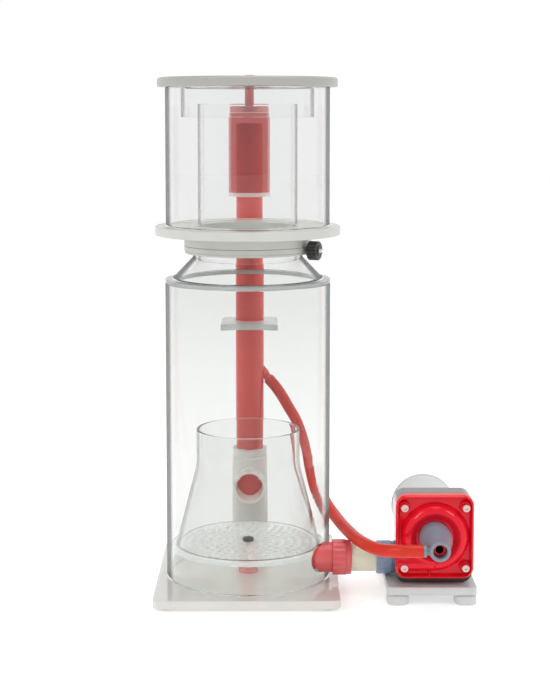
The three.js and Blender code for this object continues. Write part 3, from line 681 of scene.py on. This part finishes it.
def build_chamber():
    radius, bottom, top, x, y = round_size("body_tube")
    shell = moved(tube(radius, radius - TUBE_WALL, bottom, top), x, y)
    feed_low, feed_high, feed = extent("inlet_socket")
    inlet = laid(disc(SOCKET_R + 0.0002, -0.02, 0.05), RIGHT, (feed_low.x, feed.y, feed.z))
    outlet = laid(disc(PORT_R + 0.0002, 0.06, 0.13), BACK, (x, y, PORT_Z))
    clear_tube("body_tube", cut(shell, inlet, outlet), BODY_WALLS)
    glue_bead("body_tube", radius, bottom)
    radius, bottom, top, x, y = round_size("body_top_plate")
    stand_in("body_top_plate", moved(tube(radius, TOP_PLATE_BORE, bottom, top, 0.0005), x, y), RIM)
    radius, bottom, top, x, y = round_size("transition_cone")
    shoulder = top - 0.005
    profile = [
        (CONE_FOOT_R - CONE_WALL, bottom), (CONE_FOOT_R, bottom), (CONE_NECK_R + 0.001, shoulder),
        (CONE_NECK_R, top), (CONE_NECK_R - CONE_WALL, top), (CONE_NECK_R + 0.001 - CONE_WALL, shoulder),
    ]
    clear_tube("transition_cone", moved(spun(profile, 0.0006), x, y), CUP_WALLS)
    glue_bead("transition_cone", CONE_FOOT_R, bottom)


def build_neck_ring():
    radius, bottom, top, x, y = round_size("neck_ring")
    groove = bottom + 0.0025
    profile = [
        (NECK_BORE, bottom), (radius - 0.0006, bottom), (radius - 0.0006, groove),
        (radius - 0.0012, groove + 0.0004), (radius, groove + 0.0010), (radius, top), (NECK_BORE, top),
    ]
    ring = moved(spun(profile, 0.0005), x, y)
    screw = extent("thumbscrew_shank")[2]
    hole = laid(disc(SHANK_HOLE_R, 0.045, 0.09, 0, FINE), AXIS_OF["screw_turn"], (x, y, screw.z))
    stand_in("neck_ring", cut(ring, hole), GREY)


def build_thumbscrew():
    axis = AXIS_OF["screw_turn"]
    _, _, _, x, y = round_size("neck_ring")
    height = extent("thumbscrew_shank")[2].z
    origin = (x, y, height)
    rim = scalloped(KNOB_R, 0.0012, 16, 192)
    grip = plate([rim, circle(SHANK_BORE, FINE)], KNOB_START + 0.0018, KNOB_END, 0.0007)
    stand_in("thumbscrew_knob", laid(grip, axis, origin), BLACK)
    hub = tube(0.0078, SHANK_BORE, KNOB_START, KNOB_START + 0.0017, 0.0003, FINE)
    detail("thumbscrew_hub", "thumbscrew_knob", laid(hub, axis, origin), BLACK)
    cap = tube(0.0066, SHANK_BORE, KNOB_END + 0.0001, KNOB_END + 0.0012, 0.0005, FINE)
    detail("thumbscrew_cap", "thumbscrew_knob", laid(cap, axis, origin), BLACK)
    shank = threaded(SHANK_R, THREAD_DEPTH, THREAD_PITCH, SHANK_START, SHANK_END)
    stand_in("thumbscrew_shank", laid(shank, axis, origin), STEEL, 25)
    pad = disc(SHANK_R, PAD_START, PAD_END, 0.0004, FINE)
    stand_in("pressure_pad", laid(pad, axis, origin), BLACK)


def threaded(radius, depth, pitch, start, end):
    """A rod with thread ridges along its length and chamfered ends."""
    profile = [(0, start), (radius - 2 * depth, start)]
    for i in range(int((end - start) / pitch)):
        height = start + pitch * (i + 0.25)
        profile.append((radius - depth, height))
        profile.append((radius, height + pitch / 2))
    profile += [(radius - 2 * depth, end), (0, end)]
    return lathe(profile, FINE)


def build_cup():
    radius, bottom, top, x, y = round_size("cup_collar")
    seat_top = bottom + SEAL_SEAT + 0.0004
    profile = [
        (CUP_BORE, bottom), (SEAL_R - SEAL_SEAT, bottom), (SEAL_R - SEAL_SEAT, seat_top),
        (SEAL_R + SEAL_SEAT, seat_top), (SEAL_R + SEAL_SEAT, bottom), (radius, bottom),
        (radius, top), (CUP_BORE, top),
    ]
    stand_in("cup_collar", moved(spun(profile, 0.0005), x, y), GREY)
    low, high, seal = extent("cup_oring")
    section = (high.z - low.z) / 2
    ring = lathe([(SEAL_R + a, seal.z + b) for a, b in circle(section, 16)])
    stand_in("cup_oring", moved(ring, x, y), RUBBER)
    radius, bottom, top, x, y = round_size("cup_flange")
    profile = [
        (CUP_BORE, bottom), (radius - 0.0008, bottom), (radius, bottom + 0.0008), (radius, top - 0.0010),
        (radius - 0.0010, top), (0.1000, top), (0.0997, top - 0.0003), (CUP_BORE, top - 0.0003),
    ]
    stand_in("cup_flange", moved(spun(profile, 0.0004), x, y), GREY)
    for node, wall, walls in (("cup_tube", TUBE_WALL, CUP_WALLS), ("neck_tube", NECK_WALL, THIN_WALLS)):
        radius, bottom, top, x, y = round_size(node)
        clear_tube(node, moved(tube(radius, radius - wall, bottom, top), x, y), walls)
    for node in ("cup_tube", "neck_tube"):
        glue_bead(node, round_size(node)[0], extent("cup_tube")[0].z)


def build_lid():
    radius, bottom, top, x, y = round_size("lid_disc")
    profile = [
        (0, bottom), (radius - 0.0012, bottom), (radius, bottom + 0.0012), (radius, top - 0.0022),
        (radius - 0.0022, top), (0, top),
    ]
    stand_in("lid_disc", moved(spun(profile, 0.0007), x, y), LID_GREY)
    radius, bottom, top, x, y = round_size("lid_collar")
    clear_tube("lid_collar", moved(tube(radius, radius - TUBE_WALL, bottom, top), x, y), THIN_WALLS)
    glue_bead("lid_collar", radius, top, -1)


def bubble_holes():
    """Rings of drilled holes, evenly spaced, each ring turned against the one inside it."""
    holes = [circle(POST_BORE_R, FINE)]
    ring = 0.0165
    turn = 0.0
    while ring < 0.083:
        count = round(2 * math.pi * ring / PLATE_HOLE_PITCH)
        turn += math.pi / count
        for i in range(count):
            angle = turn + 2 * math.pi * i / count
            holes.append(circle(PLATE_HOLE_R, 14, ring * math.cos(angle), ring * math.sin(angle)))
        ring += PLATE_HOLE_PITCH
    return holes


def build_bubble_plate():
    radius, bottom, top, x, y = round_size("bubble_plate")
    sheet = plate([circle(radius, ROUND), *bubble_holes()], bottom, top, 0.0004)
    stand_in("bubble_plate", moved(sheet, x, y), DRILLED)


def build_bubble_cone():
    radius, bottom, top, x, y = round_size("bubble_cone")
    neck = BUBBLE_NECK_R
    bore = neck - BUBBLE_WALL
    bend_start = BUBBLE_SHOULDER_Z - 0.005
    bend_end = BUBBLE_SHOULDER_Z + 0.004
    profile = [
        (radius - BUBBLE_WALL, bottom), (radius, bottom), (neck + 0.0012, bend_start), (neck, bend_end),
        (neck, top), (bore, top), (bore, bend_end), (bore + 0.0012, bend_start),
    ]
    clear_tube("bubble_cone", moved(spun(profile, 0.0008), x, y), BUBBLE_WALLS)
    glue_bead("bubble_cone", radius, bottom)


def build_centre_post():
    foot_radius, bottom, top, x, y = round_size("centre_post")
    radius = foot_radius - 0.002
    profile = [
        (0, bottom), (foot_radius, bottom), (foot_radius, bottom + 0.0048), (radius, bottom + 0.0048),
        (radius, top - 0.0035), (radius - 0.002, top), (POST_BORE_R, top), (POST_BORE_R, top - 0.022),
        (0, top - 0.022),
    ]
    stand_in("centre_post", moved(spun(profile, 0.0004, SMALL), x, y), PINK_SOLID)
    screw_low, screw_high, _ = extent("centre_screw")
    head = extent("bubble_plate")[1].z + GAP
    shank = moved(threaded(POST_BORE_R - GAP, 0.0004, 0.001, screw_low.z, head), x, y)
    grip = moved(plate([scalloped(0.007, 0.0008, 12, 96)], head, screw_high.z, 0.0006), x, y)
    stand_in("centre_screw", joined(shank, grip), BLACK)


def build_feed_line():
    low, high, middle = extent("inlet_socket")
    thread_start = extent("union_nut")[0].x + 0.0006
    line = (0, middle.y, middle.z)
    body = spun([
        (SOCKET_BORE, low.x), (SOCKET_R, low.x), (SOCKET_R, thread_start - 0.0009),
        (SOCKET_R - 0.0006, thread_start), (SOCKET_R - 0.0006, high.x), (SOCKET_BORE, high.x),
    ], 0.0004, SMALL)
    chamber_radius, bottom, top, x, y = round_size("body_tube")
    bore = moved(disc(chamber_radius - TUBE_WALL, bottom, top, 0, ROUND), x, y)
    stand_in("inlet_socket", cut(laid(body, RIGHT, line), bore), RED_NUT)
    low, high, middle = extent("union_nut")
    radius = (high.z - low.z) / 2
    lip = high.x - 0.0065
    grip = plate([scalloped(radius, 0.0011, 12, 240), circle(SOCKET_R + 0.0013, SMALL)], low.x, lip, 0.0006)
    shoulder = spun([
        (FEED_R + FIT, lip), (radius - 0.0008, lip), (radius - 0.0008, high.x - 0.0012),
        (radius - 0.0020, high.x), (FEED_R + FIT, high.x),
    ], 0.0006, SMALL)
    stand_in("union_nut", laid(joined(grip, shoulder), RIGHT, line), RED_NUT)
    ring_low, ring_high, _ = extent("union_thrust_ring")
    ring = tube(0.0189, FEED_R + FIT, ring_low.x, ring_high.x, 0.0003, SMALL)
    stand_in("union_thrust_ring", laid(ring, RIGHT, line), WHITE)
    low, high, _ = extent("feed_pipe")
    pipe = spun([
        (FEED_BORE, low.x), (SOCKET_R, low.x), (SOCKET_R, low.x + 0.003), (FEED_R, low.x + 0.003),
        (FEED_R, high.x), (FEED_BORE, high.x),
    ], 0.0004, SMALL)
    stand_in("feed_pipe", laid(pipe, RIGHT, line), FEED_TINT)
    low, high, _ = extent("outlet_sleeve")
    outer = (high.z - low.z) / 2
    sleeve = spun([
        (FEED_R + FIT, low.x), (outer - 0.001, low.x), (outer, low.x + 0.0015), (outer, high.x - 0.004),
        (outer - 0.0008, high.x - 0.0035), (outer - 0.0008, high.x), (FEED_R + FIT, high.x),
    ], 0.0005, SMALL)
    stand_in("outlet_sleeve", laid(sleeve, RIGHT, line), SLEEVE_BLUE_WITH_PAINTED_LIGHT)


def build_outlet_tee():
    low, high, _ = extent("outlet_tee")
    _, _, _, x, y = round_size("riser_tube")
    barrel = moved(spun([
        (0, low.z), (TEE_R, low.z), (TEE_R, high.z - 0.011), (TEE_R - 0.0010, high.z - 0.010),
        (TEE_R - 0.0010, high.z - 0.003), (TEE_R - 0.0004, high.z), (0, high.z),
    ], 0.0006, SMALL), x, y)
    port = laid(disc(PORT_R, 0, y - low.y, 0.0005), FRONT, (x, y, PORT_Z))
    outlet = laid(disc(OUTLET_R, 0, high.y - y, 0.0005), BACK, (x, y, OUTLET_Z))
    bore = moved(disc(TEE_BORE, low.z + 0.004, high.z + 0.001), x, y)
    port_bore = laid(disc(PORT_BORE, 0, 0.06), FRONT, (x, y, PORT_Z))
    outlet_bore = laid(disc(OUTLET_BORE, 0, 0.06), BACK, (x, y, OUTLET_Z))
    stand_in("outlet_tee", cut(joined(barrel, port, outlet), bore, port_bore, outlet_bore), TEE_GREY)


def build_riser():
    radius, bottom, top, x, y = round_size("riser_tube")
    pipe = moved(tube(radius, radius - RISER_WALL, bottom, top, 0.0005, SMALL), x, y)
    towards = Vector((math.sin(WINDOW_TURN), math.cos(WINDOW_TURN), 0))
    window = laid(disc(WINDOW_R, 0.005, 0.03), towards, (x, y, PORT_Z))
    origin = (x, y, BARB_Z)
    direction = (math.cos(BARB_TILT), 0, -math.sin(BARB_TILT))
    barb_hole = laid(disc(0.0046, 0.008, 0.036, 0, FINE), direction, origin)
    stand_in("riser_tube", cut(pipe, window, barb_hole), RED_TUBE)
    stem = laid(spun([
        (0, 0.020), (0.0063, 0.020), (0.0063, 0.0335), (0.0052, 0.0345), (0.0052, BARB_TIP - 0.0016),
        (0.0065, BARB_TIP - 0.0012), (0.0065, BARB_TIP), (0, BARB_TIP),
    ], 0.0003, FINE), direction, origin)
    pipe_space = moved(disc(radius + GAP, BARB_Z - 0.06, BARB_Z, 0), x, y)
    spigot = laid(disc(0.0042, 0.022, BARB_TIP, 0.0003, FINE), direction, origin)
    bore = laid(disc(BARB_BORE, 0.015, BARB_TIP + 0.001, 0, FINE), direction, origin)
    stand_in("riser_barb", cut(joined(cut(stem, pipe_space), spigot), bore), RED_TUBE)


def build_bracket():
    low, high, middle = extent("riser_bracket")
    column_radius, _, _, x, y = round_size("body_tube")
    riser_radius, _, _, riser_x, riser_y = round_size("riser_tube")
    contact = column_radius + GAP
    half = (high.x - low.x) / 2
    reach = math.asin(half / contact)
    steps = 24
    outline = []
    for i in range(steps + 1):
        angle = math.pi / 2 + reach - 2 * reach * i / steps
        outline.append((x + contact * math.cos(angle), y + contact * math.sin(angle)))
    corner = 0.012
    for side, start in ((1, 0), (-1, math.pi / 2)):
        for i in range(9):
            angle = start + math.pi / 2 * i / 8
            centre_x = middle.x + side * (half - corner)
            outline.append((centre_x + corner * math.cos(angle), high.y - corner + corner * math.sin(angle)))
    hole = circle(riser_radius + FIT, SMALL, riser_x, riser_y)
    stand_in("riser_bracket", plate([outline, hole], low.z, high.z, 0.0005), SAWN)


def build_silencer():
    riser_radius, _, _, x, y = round_size("riser_tube")
    bore = riser_radius + FIT
    radius, bottom, top, _, _ = round_size("silencer_ring")
    stand_in("silencer_ring", moved(tube(radius, bore, bottom, top, 0.0006, SMALL), x, y), PINK_RING)
    radius, bottom, top, _, _ = round_size("silencer_sleeve")
    sleeve = moved(tube(radius, radius - SILENCER_WALL, bottom, top, 0.0004, SMALL), x, y)
    stand_in("silencer_sleeve", sleeve, RED_SLEEVE)
    radius, bottom, top, _, _ = round_size("silencer_cap")
    nipple_radius, _, nipple_top, _, _ = round_size("intake_nipple")
    inner = nipple_radius + GAP
    profile = [(inner, bottom), (radius, bottom), (radius, top - 0.001), (radius - 0.001, top), (inner, top)]
    stand_in("silencer_cap", moved(spun(profile, 0.0004, SMALL), x, y), RED_CAP)
    low = extent("intake_nipple")[0].z
    mouth = nipple_top - 0.003
    waist = nipple_radius - 0.0007
    profile = [
        (NIPPLE_BORE, low), (nipple_radius, low), (nipple_radius, mouth - 0.009), (waist, mouth - 0.0085),
        (waist, mouth), (nipple_radius, mouth + 0.0004), (nipple_radius - 0.0005, nipple_top),
        (NIPPLE_BORE, nipple_top),
    ]
    stand_in("intake_nipple", moved(spun(profile, 0.0003, FINE), x, y), RED_CAP)


# ---------- Pump ----------
def smooth_step(low, high, value):
    t = min(1.0, max(0.0, (value - low) / (high - low)))
    return t * t * (3 - 2 * t)


def rim_distance(x, z, half_width, half_height, corner):
    """How far inside the rounded rectangle a point is; negative outside it."""
    dx = abs(x) - (half_width - corner)
    dz = abs(z) - (half_height - corner)
    outside = math.hypot(max(dx, 0.0), max(dz, 0.0)) + min(max(dx, dz), 0.0)
    return corner - outside


def bulge(offset, half):
    """A rounded ridge across the offset: 1 on its crest and 0 at its sides."""
    return max(0.0, 1 - (offset / half) ** 2) ** 0.8


def cover_height(x, z, half_width, half_height):
    """Height of the moulded cover's face over its back: a rim, sunk corners, the scroll and its run-out."""
    distance = math.hypot(x, z)
    growth = ((-math.pi / 2 - math.atan2(z, x)) % (2 * math.pi)) / (2 * math.pi)
    sunk = COVER_SUNK
    edge = rim_distance(x, z, half_width, half_height, COVER_CORNER)
    rim = sunk + COVER_RIM * (1 - smooth_step(0.0026, 0.0050, edge))
    crest_height = COVER_DEPTH + 0.0022 - sunk
    outer = SCROLL_R - 0.003 * (1 - growth)
    crest = outer - SCROLL_RIDGE
    scroll = sunk + crest_height * bulge(max(0.0, distance - crest), SCROLL_RIDGE)
    scroll -= 0.0060 * smooth_step(crest, 0.0215, distance)
    scroll = scroll if distance < outer else sunk
    across = abs(z + SCROLL_R - SCROLL_RIDGE)
    runout = sunk + crest_height * bulge(across, SCROLL_RIDGE) * smooth_step(0.004, -0.001, x)
    seam = sunk + COVER_BOSS * (1 - smooth_step(0.0005, 0.0012, abs(x + 0.006))) if z < 0 else sunk
    seat = math.hypot(abs(x) - SCREW_SPREAD, abs(z) - SCREW_SPREAD)
    boss = sunk + COVER_BOSS * (1 - smooth_step(0.0058, 0.0072, seat))
    lip = smooth_step(-0.0002, 0.0028, edge)
    return max(rim, scroll, runout, seam, boss) - 0.003 * (1 - lip) ** 2


def rim_reach(x, z, half_width, half_height):
    """How far from the cover's middle its rim is, in the direction of x and z."""
    low = 0.0
    high = 0.1
    for _ in range(24):
        reach = (low + high) / 2
        if rim_distance(x * reach, z * reach, half_width, half_height, COVER_CORNER) > 0:
            low = reach
        else:
            high = reach
    return low


def cover_ring(share, half_width, half_height):
    """One loop of points, at that share of the way from the round eye to the cover's rounded rim."""
    scroll_share = 0.62
    scroll_edge = SCROLL_R + 0.0005
    loop = []
    for i in range(COVER_SPOKES):
        angle = 2 * math.pi * i / COVER_SPOKES
        x = math.cos(angle)
        z = math.sin(angle)
        if share < scroll_share:
            reach = COVER_EYE_R + (scroll_edge - COVER_EYE_R) * share / scroll_share
        else:
            rim = rim_reach(x, z, half_width, half_height)
            reach = scroll_edge + (rim - scroll_edge) * (share - scroll_share) / (1 - scroll_share)
        loop.append((x * reach, z * reach))
    return loop


def build_volute_cover():
    low, high, middle = extent("volute_cover")
    half_width = (high.x - low.x) / 2
    half_height = (high.z - low.z) / 2
    _, _, shaft = extent("motor_end_cap")
    back = high.y
    bm = bmesh.new()
    front = []
    for step in range(COVER_LOOPS + 1):
        front.append([
            bm.verts.new((shaft.x + x, back - cover_height(x, z, half_width, half_height), shaft.z + z))
            for x, z in cover_ring(step / COVER_LOOPS, half_width, half_height)
        ])
    rear = []
    for loop in (front[-1], front[0]):
        rear.append([bm.verts.new((v.co.x, back, v.co.z)) for v in loop])
    loops = [*front, *rear, front[0]]
    for first, second in zip(loops, loops[1:]):
        for i in range(COVER_SPOKES):
            j = (i + 1) % COVER_SPOKES
            bm.faces.new((first[i], first[j], second[j], second[i]))
    stand_in("volute_cover", bm, RED, 50)


def build_cover_screws():
    for i in range(1, 5):
        node = f"cover_screw_{i}"
        low, high, middle = extent(node)
        length = high.y - low.y
        screw = spun([
            (0, 0), (SCREW_HEAD_R, 0), (SCREW_HEAD_R, 0.0030), (SCREW_R, 0.0030), (SCREW_R, length),
            (0, length),
        ], 0.0006, FINE)
        socket = plate([circle(0.0022, 6)], -0.001, 0.0020, 0.0001)
        stand_in(node, laid(cut(screw, socket), BACK, (middle.x, low.y, middle.z)), SCREW_STEEL)


def build_pump_plates():
    low, high, middle = extent("pump_flange")
    outline = rounded_rectangle(high.x - low.x, high.z - low.z, COVER_CORNER)
    bore = circle(CASING_BORE, SMALL, 0, extent("motor_end_cap")[2].z - middle.z)
    sheet = plate([outline, bore], 0, high.y - low.y, 0.0008)
    sheet.transform(Matrix.Translation((middle.x, high.y, middle.z)) @ Matrix.Rotation(math.pi / 2, 4, "X"))
    _, _, feed = extent("feed_pipe")
    sleeve_low, sleeve_high, _ = extent("outlet_sleeve")
    line_start = (sleeve_low.x, feed.y, feed.z)
    sleeve = laid(disc(SLEEVE_R + FIT, -0.002, sleeve_high.x - sleeve_low.x + FIT), RIGHT, line_start)
    spout = laid(disc(FEED_R + FIT, 0, middle.x - sleeve_low.x), RIGHT, line_start)
    stand_in("pump_flange", cut(sheet, sleeve, spout), GLOSS_BLACK)
    build_slab("pump_foot_plate", 0.006, 0.0014, WHITE)
    for i in range(1, 5):
        build_slab(f"pump_foot_{i}", 0.009, 0.0026, WHITE)


def build_casing():
    low, high, _ = extent("volute_casing")
    _, _, shaft = extent("motor_end_cap")
    radius = high.z - shaft.z
    drum = laid(spun([
        (CASING_BORE, low.y), (radius, low.y), (radius, low.y + 0.004), (radius - 0.0015, low.y + 0.005),
        (radius - 0.0015, high.y - 0.005), (radius, high.y - 0.004), (radius, high.y), (MOTOR_CAN_R, high.y),
        (MOTOR_CAN_R, high.y - 0.006), (CASING_BORE, high.y - 0.006),
    ], 0.0006), BACK, (shaft.x, 0, shaft.z))
    _, _, feed = extent("feed_pipe")
    spout = laid(disc(FEED_R, 0, shaft.x - low.x, 0.0006), RIGHT, (low.x, feed.y, feed.z))
    hollow = laid(disc(CASING_BORE - 0.0005, low.y - 0.001, high.y - 0.0065), BACK, (shaft.x, 0, shaft.z))
    throat = laid(disc(SOCKET_BORE, -0.001, shaft.x - low.x), RIGHT, (low.x, feed.y, feed.z))
    stand_in("volute_casing", cut(joined(drum, spout), hollow, throat), RED)


def build_motor():
    low, high, _ = extent("motor_housing")
    cap_low, cap_high, shaft = extent("motor_end_cap")
    radius = (cap_high.x - cap_low.x) / 2
    drum = laid(spun([
        (MOTOR_CAN_R, low.y), (radius - 0.001, low.y), (radius, low.y + 0.001), (radius, high.y - 0.009),
        (radius - 0.0012, high.y - 0.0085), (radius - 0.0012, high.y), (0.0083, high.y),
        (0.0083, high.y - 0.020), (MOTOR_CAN_R, high.y - 0.020),
    ], 0.0006), BACK, (shaft.x, 0, shaft.z))
    pedestal = rounded_rectangle(0.062, high.y - low.y - 0.004, 0.004)
    block = moved(plate([pedestal], low.z, shaft.z - 0.025, 0.001), shaft.x, (low.y + high.y) / 2 - 0.002)
    hollow = laid(disc(MOTOR_CAN_R, low.y - 0.001, high.y - 0.020), BACK, (shaft.x, 0, shaft.z))
    stand_in("motor_housing", cut(joined(drum, block), hollow), WHITE)
    cap = spun([
        (0, cap_low.y), (radius, cap_low.y), (radius, cap_high.y - 0.006),
        (radius - 0.006, cap_high.y - 0.0005), (0.030, cap_high.y - 0.0005), (0.029, cap_high.y),
        (0, cap_high.y),
    ], 0.003, steps=5)
    stand_in("motor_end_cap", laid(cap, BACK, (shaft.x, 0, shaft.z)), WHITE)
    low, high, middle = extent("cable_gland")
    length = high.y - low.y
    collar = plate([scalloped(0.009, 0.0008, 12, 96)], 0, 0.006, 0.0006)
    neck = spun([
        (0, 0.005), (0.0078, 0.005), (0.0065, 0.008), (0.0065, length - 0.001), (0.0055, length),
        (0.004, length), (0.004, 0.010), (0, 0.010),
    ], 0.0004, FINE)
    stand_in("cable_gland", laid(joined(collar, neck), BACK, (middle.x, low.y, middle.z)), BLACK)


def build_rotor():
    """The rotor's plain pieces keep their CAD shape, and the needle wheel gets its many pins."""
    for node, finish in (("rotor_magnet", MAGNET), ("pump_shaft", CERAMIC), ("rear_bearing", CERAMIC)):
        shown = frame["nodes"][node]
        shown.data.materials.clear()
        shown.data.materials.append(finish)
    low, high, middle = extent("needle_wheel")
    disc_front = low.y + 0.020
    wheel = tube(0.034, SHAFT_BORE, disc_front, disc_front + 0.003, 0.0004, SMALL)
    hub = tube(0.009, SHAFT_BORE, low.y, high.y, 0.0004, FINE)
    shapes = [laid(shape, BACK, (middle.x, 0, middle.z)) for shape in (wheel, hub)]
    whole = bmesh.new()
    for radius, count in ((0.014, 8), (0.020, 14), (0.026, 18), (0.0315, 24)):
        for i in range(count):
            angle = 2 * math.pi * (i + 0.5 * (count % 4)) / count
            pin_x = middle.x + radius * math.cos(angle)
            pin_z = middle.z + radius * math.sin(angle)
            pin = disc(0.0009, 0, 0.020, 0.0003, 10)
            shapes.append(laid(pin, FRONT, (pin_x, disc_front + 0.001, pin_z)))
    for shape in shapes:
        mesh = as_mesh("Pin", shape)
        whole.from_mesh(mesh)
        bpy.data.meshes.remove(mesh)
    stand_in("needle_wheel", whole, WHITE)


def build_nozzle():
    low, high, middle = extent("suction_nozzle")
    base = (high.z - low.z) / 2
    tip = low.y
    cone = laid(spun([
        (NOZZLE_BORE, tip + 0.0008), (NOZZLE_BORE + 0.0006, tip), (0.0112, tip), (0.0120, tip + 0.001),
        (0.0122, tip + 0.012), (0.0135, tip + 0.020), (base - 0.0008, tip + 0.040), (base, tip + 0.044),
        (base, high.y), (base - 0.004, high.y), (base - 0.004, tip + 0.046), (NOZZLE_BORE, tip + 0.016),
    ], 0.0012, SMALL, 4), BACK, (middle.x, 0, middle.z))
    _, _, barb = extent("air_barb")
    hole = laid(disc(0.0043, 0, 0.03, 0, FINE), RIGHT, (middle.x - 0.030, barb.y, barb.z))
    stand_in("suction_nozzle", cut(cone, hole), BLUE)
    insert = tube(NOZZLE_BORE - 0.0002, 0.0045, tip + 0.010, tip + 0.013, 0.0006, SMALL)
    detail("nozzle_insert", "suction_nozzle", laid(insert, BACK, (middle.x, 0, middle.z)), RED)
    low, high, middle = extent("air_barb")
    stem = spun([
        (0.0024, low.x), (0.0068, low.x), (0.0068, low.x + 0.003), (0.0042, low.x + 0.0045),
        (0.0040, high.x), (0.0024, high.x),
    ], 0.0003, FINE)
    stand_in("air_barb", laid(stem, RIGHT, (0, middle.y, middle.z)), BLUE)


def smooth_route(points, steps=8):
    """Points along the Catmull-Rom curve through the route."""
    padded = [2 * points[0] - points[1], *points, 2 * points[-1] - points[-2]]
    result = []
    for before, start, end, after in zip(padded, padded[1:], padded[2:], padded[3:]):
        for i in range(steps):
            t = i / steps
            result.append(0.5 * (
                2 * start + (end - before) * t + (2 * before - 5 * start + 4 * end - after) * t * t
                + (3 * start - before - 3 * end + after) * t * t * t
            ))
    return [*result, points[-1]]


def build_air_hose():
    route = smooth_route([Vector(point) + COLUMN_OFFSET for point in HOSE_ROUTE])
    curve = bpy.data.curves.new("air_hose_run", "CURVE")
    curve.dimensions = "3D"
    curve.bevel_depth = HOSE_R
    curve.bevel_resolution = 8
    curve.use_fill_caps = True
    spline = curve.splines.new("POLY")
    spline.points.add(len(route) - 1)
    for point, place in zip(spline.points, route):
        point.co = (*place, 1)
    spline.use_smooth = True
    curve.materials.append(SILICONE)
    hose = add_object("air_hose_run", curve)
    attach(hose, BODY_OF["air_hose"])
    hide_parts("air_hose")


def set_look():
    """Colours as the eye sees them, and enough bounces for many clear walls behind each other."""
    scene = bpy.context.scene
    scene.view_settings.view_transform = "Standard"
    scene.cycles.max_bounces = 40
    scene.cycles.transmission_bounces = 40
    scene.cycles.transparent_max_bounces = 40
    scene.cycles.diffuse_bounces = 4
    scene.cycles.glossy_bounces = 8
    scene.cycles.sample_clamp_indirect = 6.0


build_camera()
build_air_hose()
build_world()
build_lamps()
build_floor()
build_base()
build_chamber()
build_neck_ring()
build_thumbscrew()
build_cup()
build_lid()
build_bubble_plate()
build_bubble_cone()
build_centre_post()
build_feed_line()
build_outlet_tee()
build_riser()
build_bracket()
build_silencer()
build_volute_cover()
build_cover_screws()
build_pump_plates()
build_casing()
build_motor()
build_rotor()
build_nozzle()
set_look()
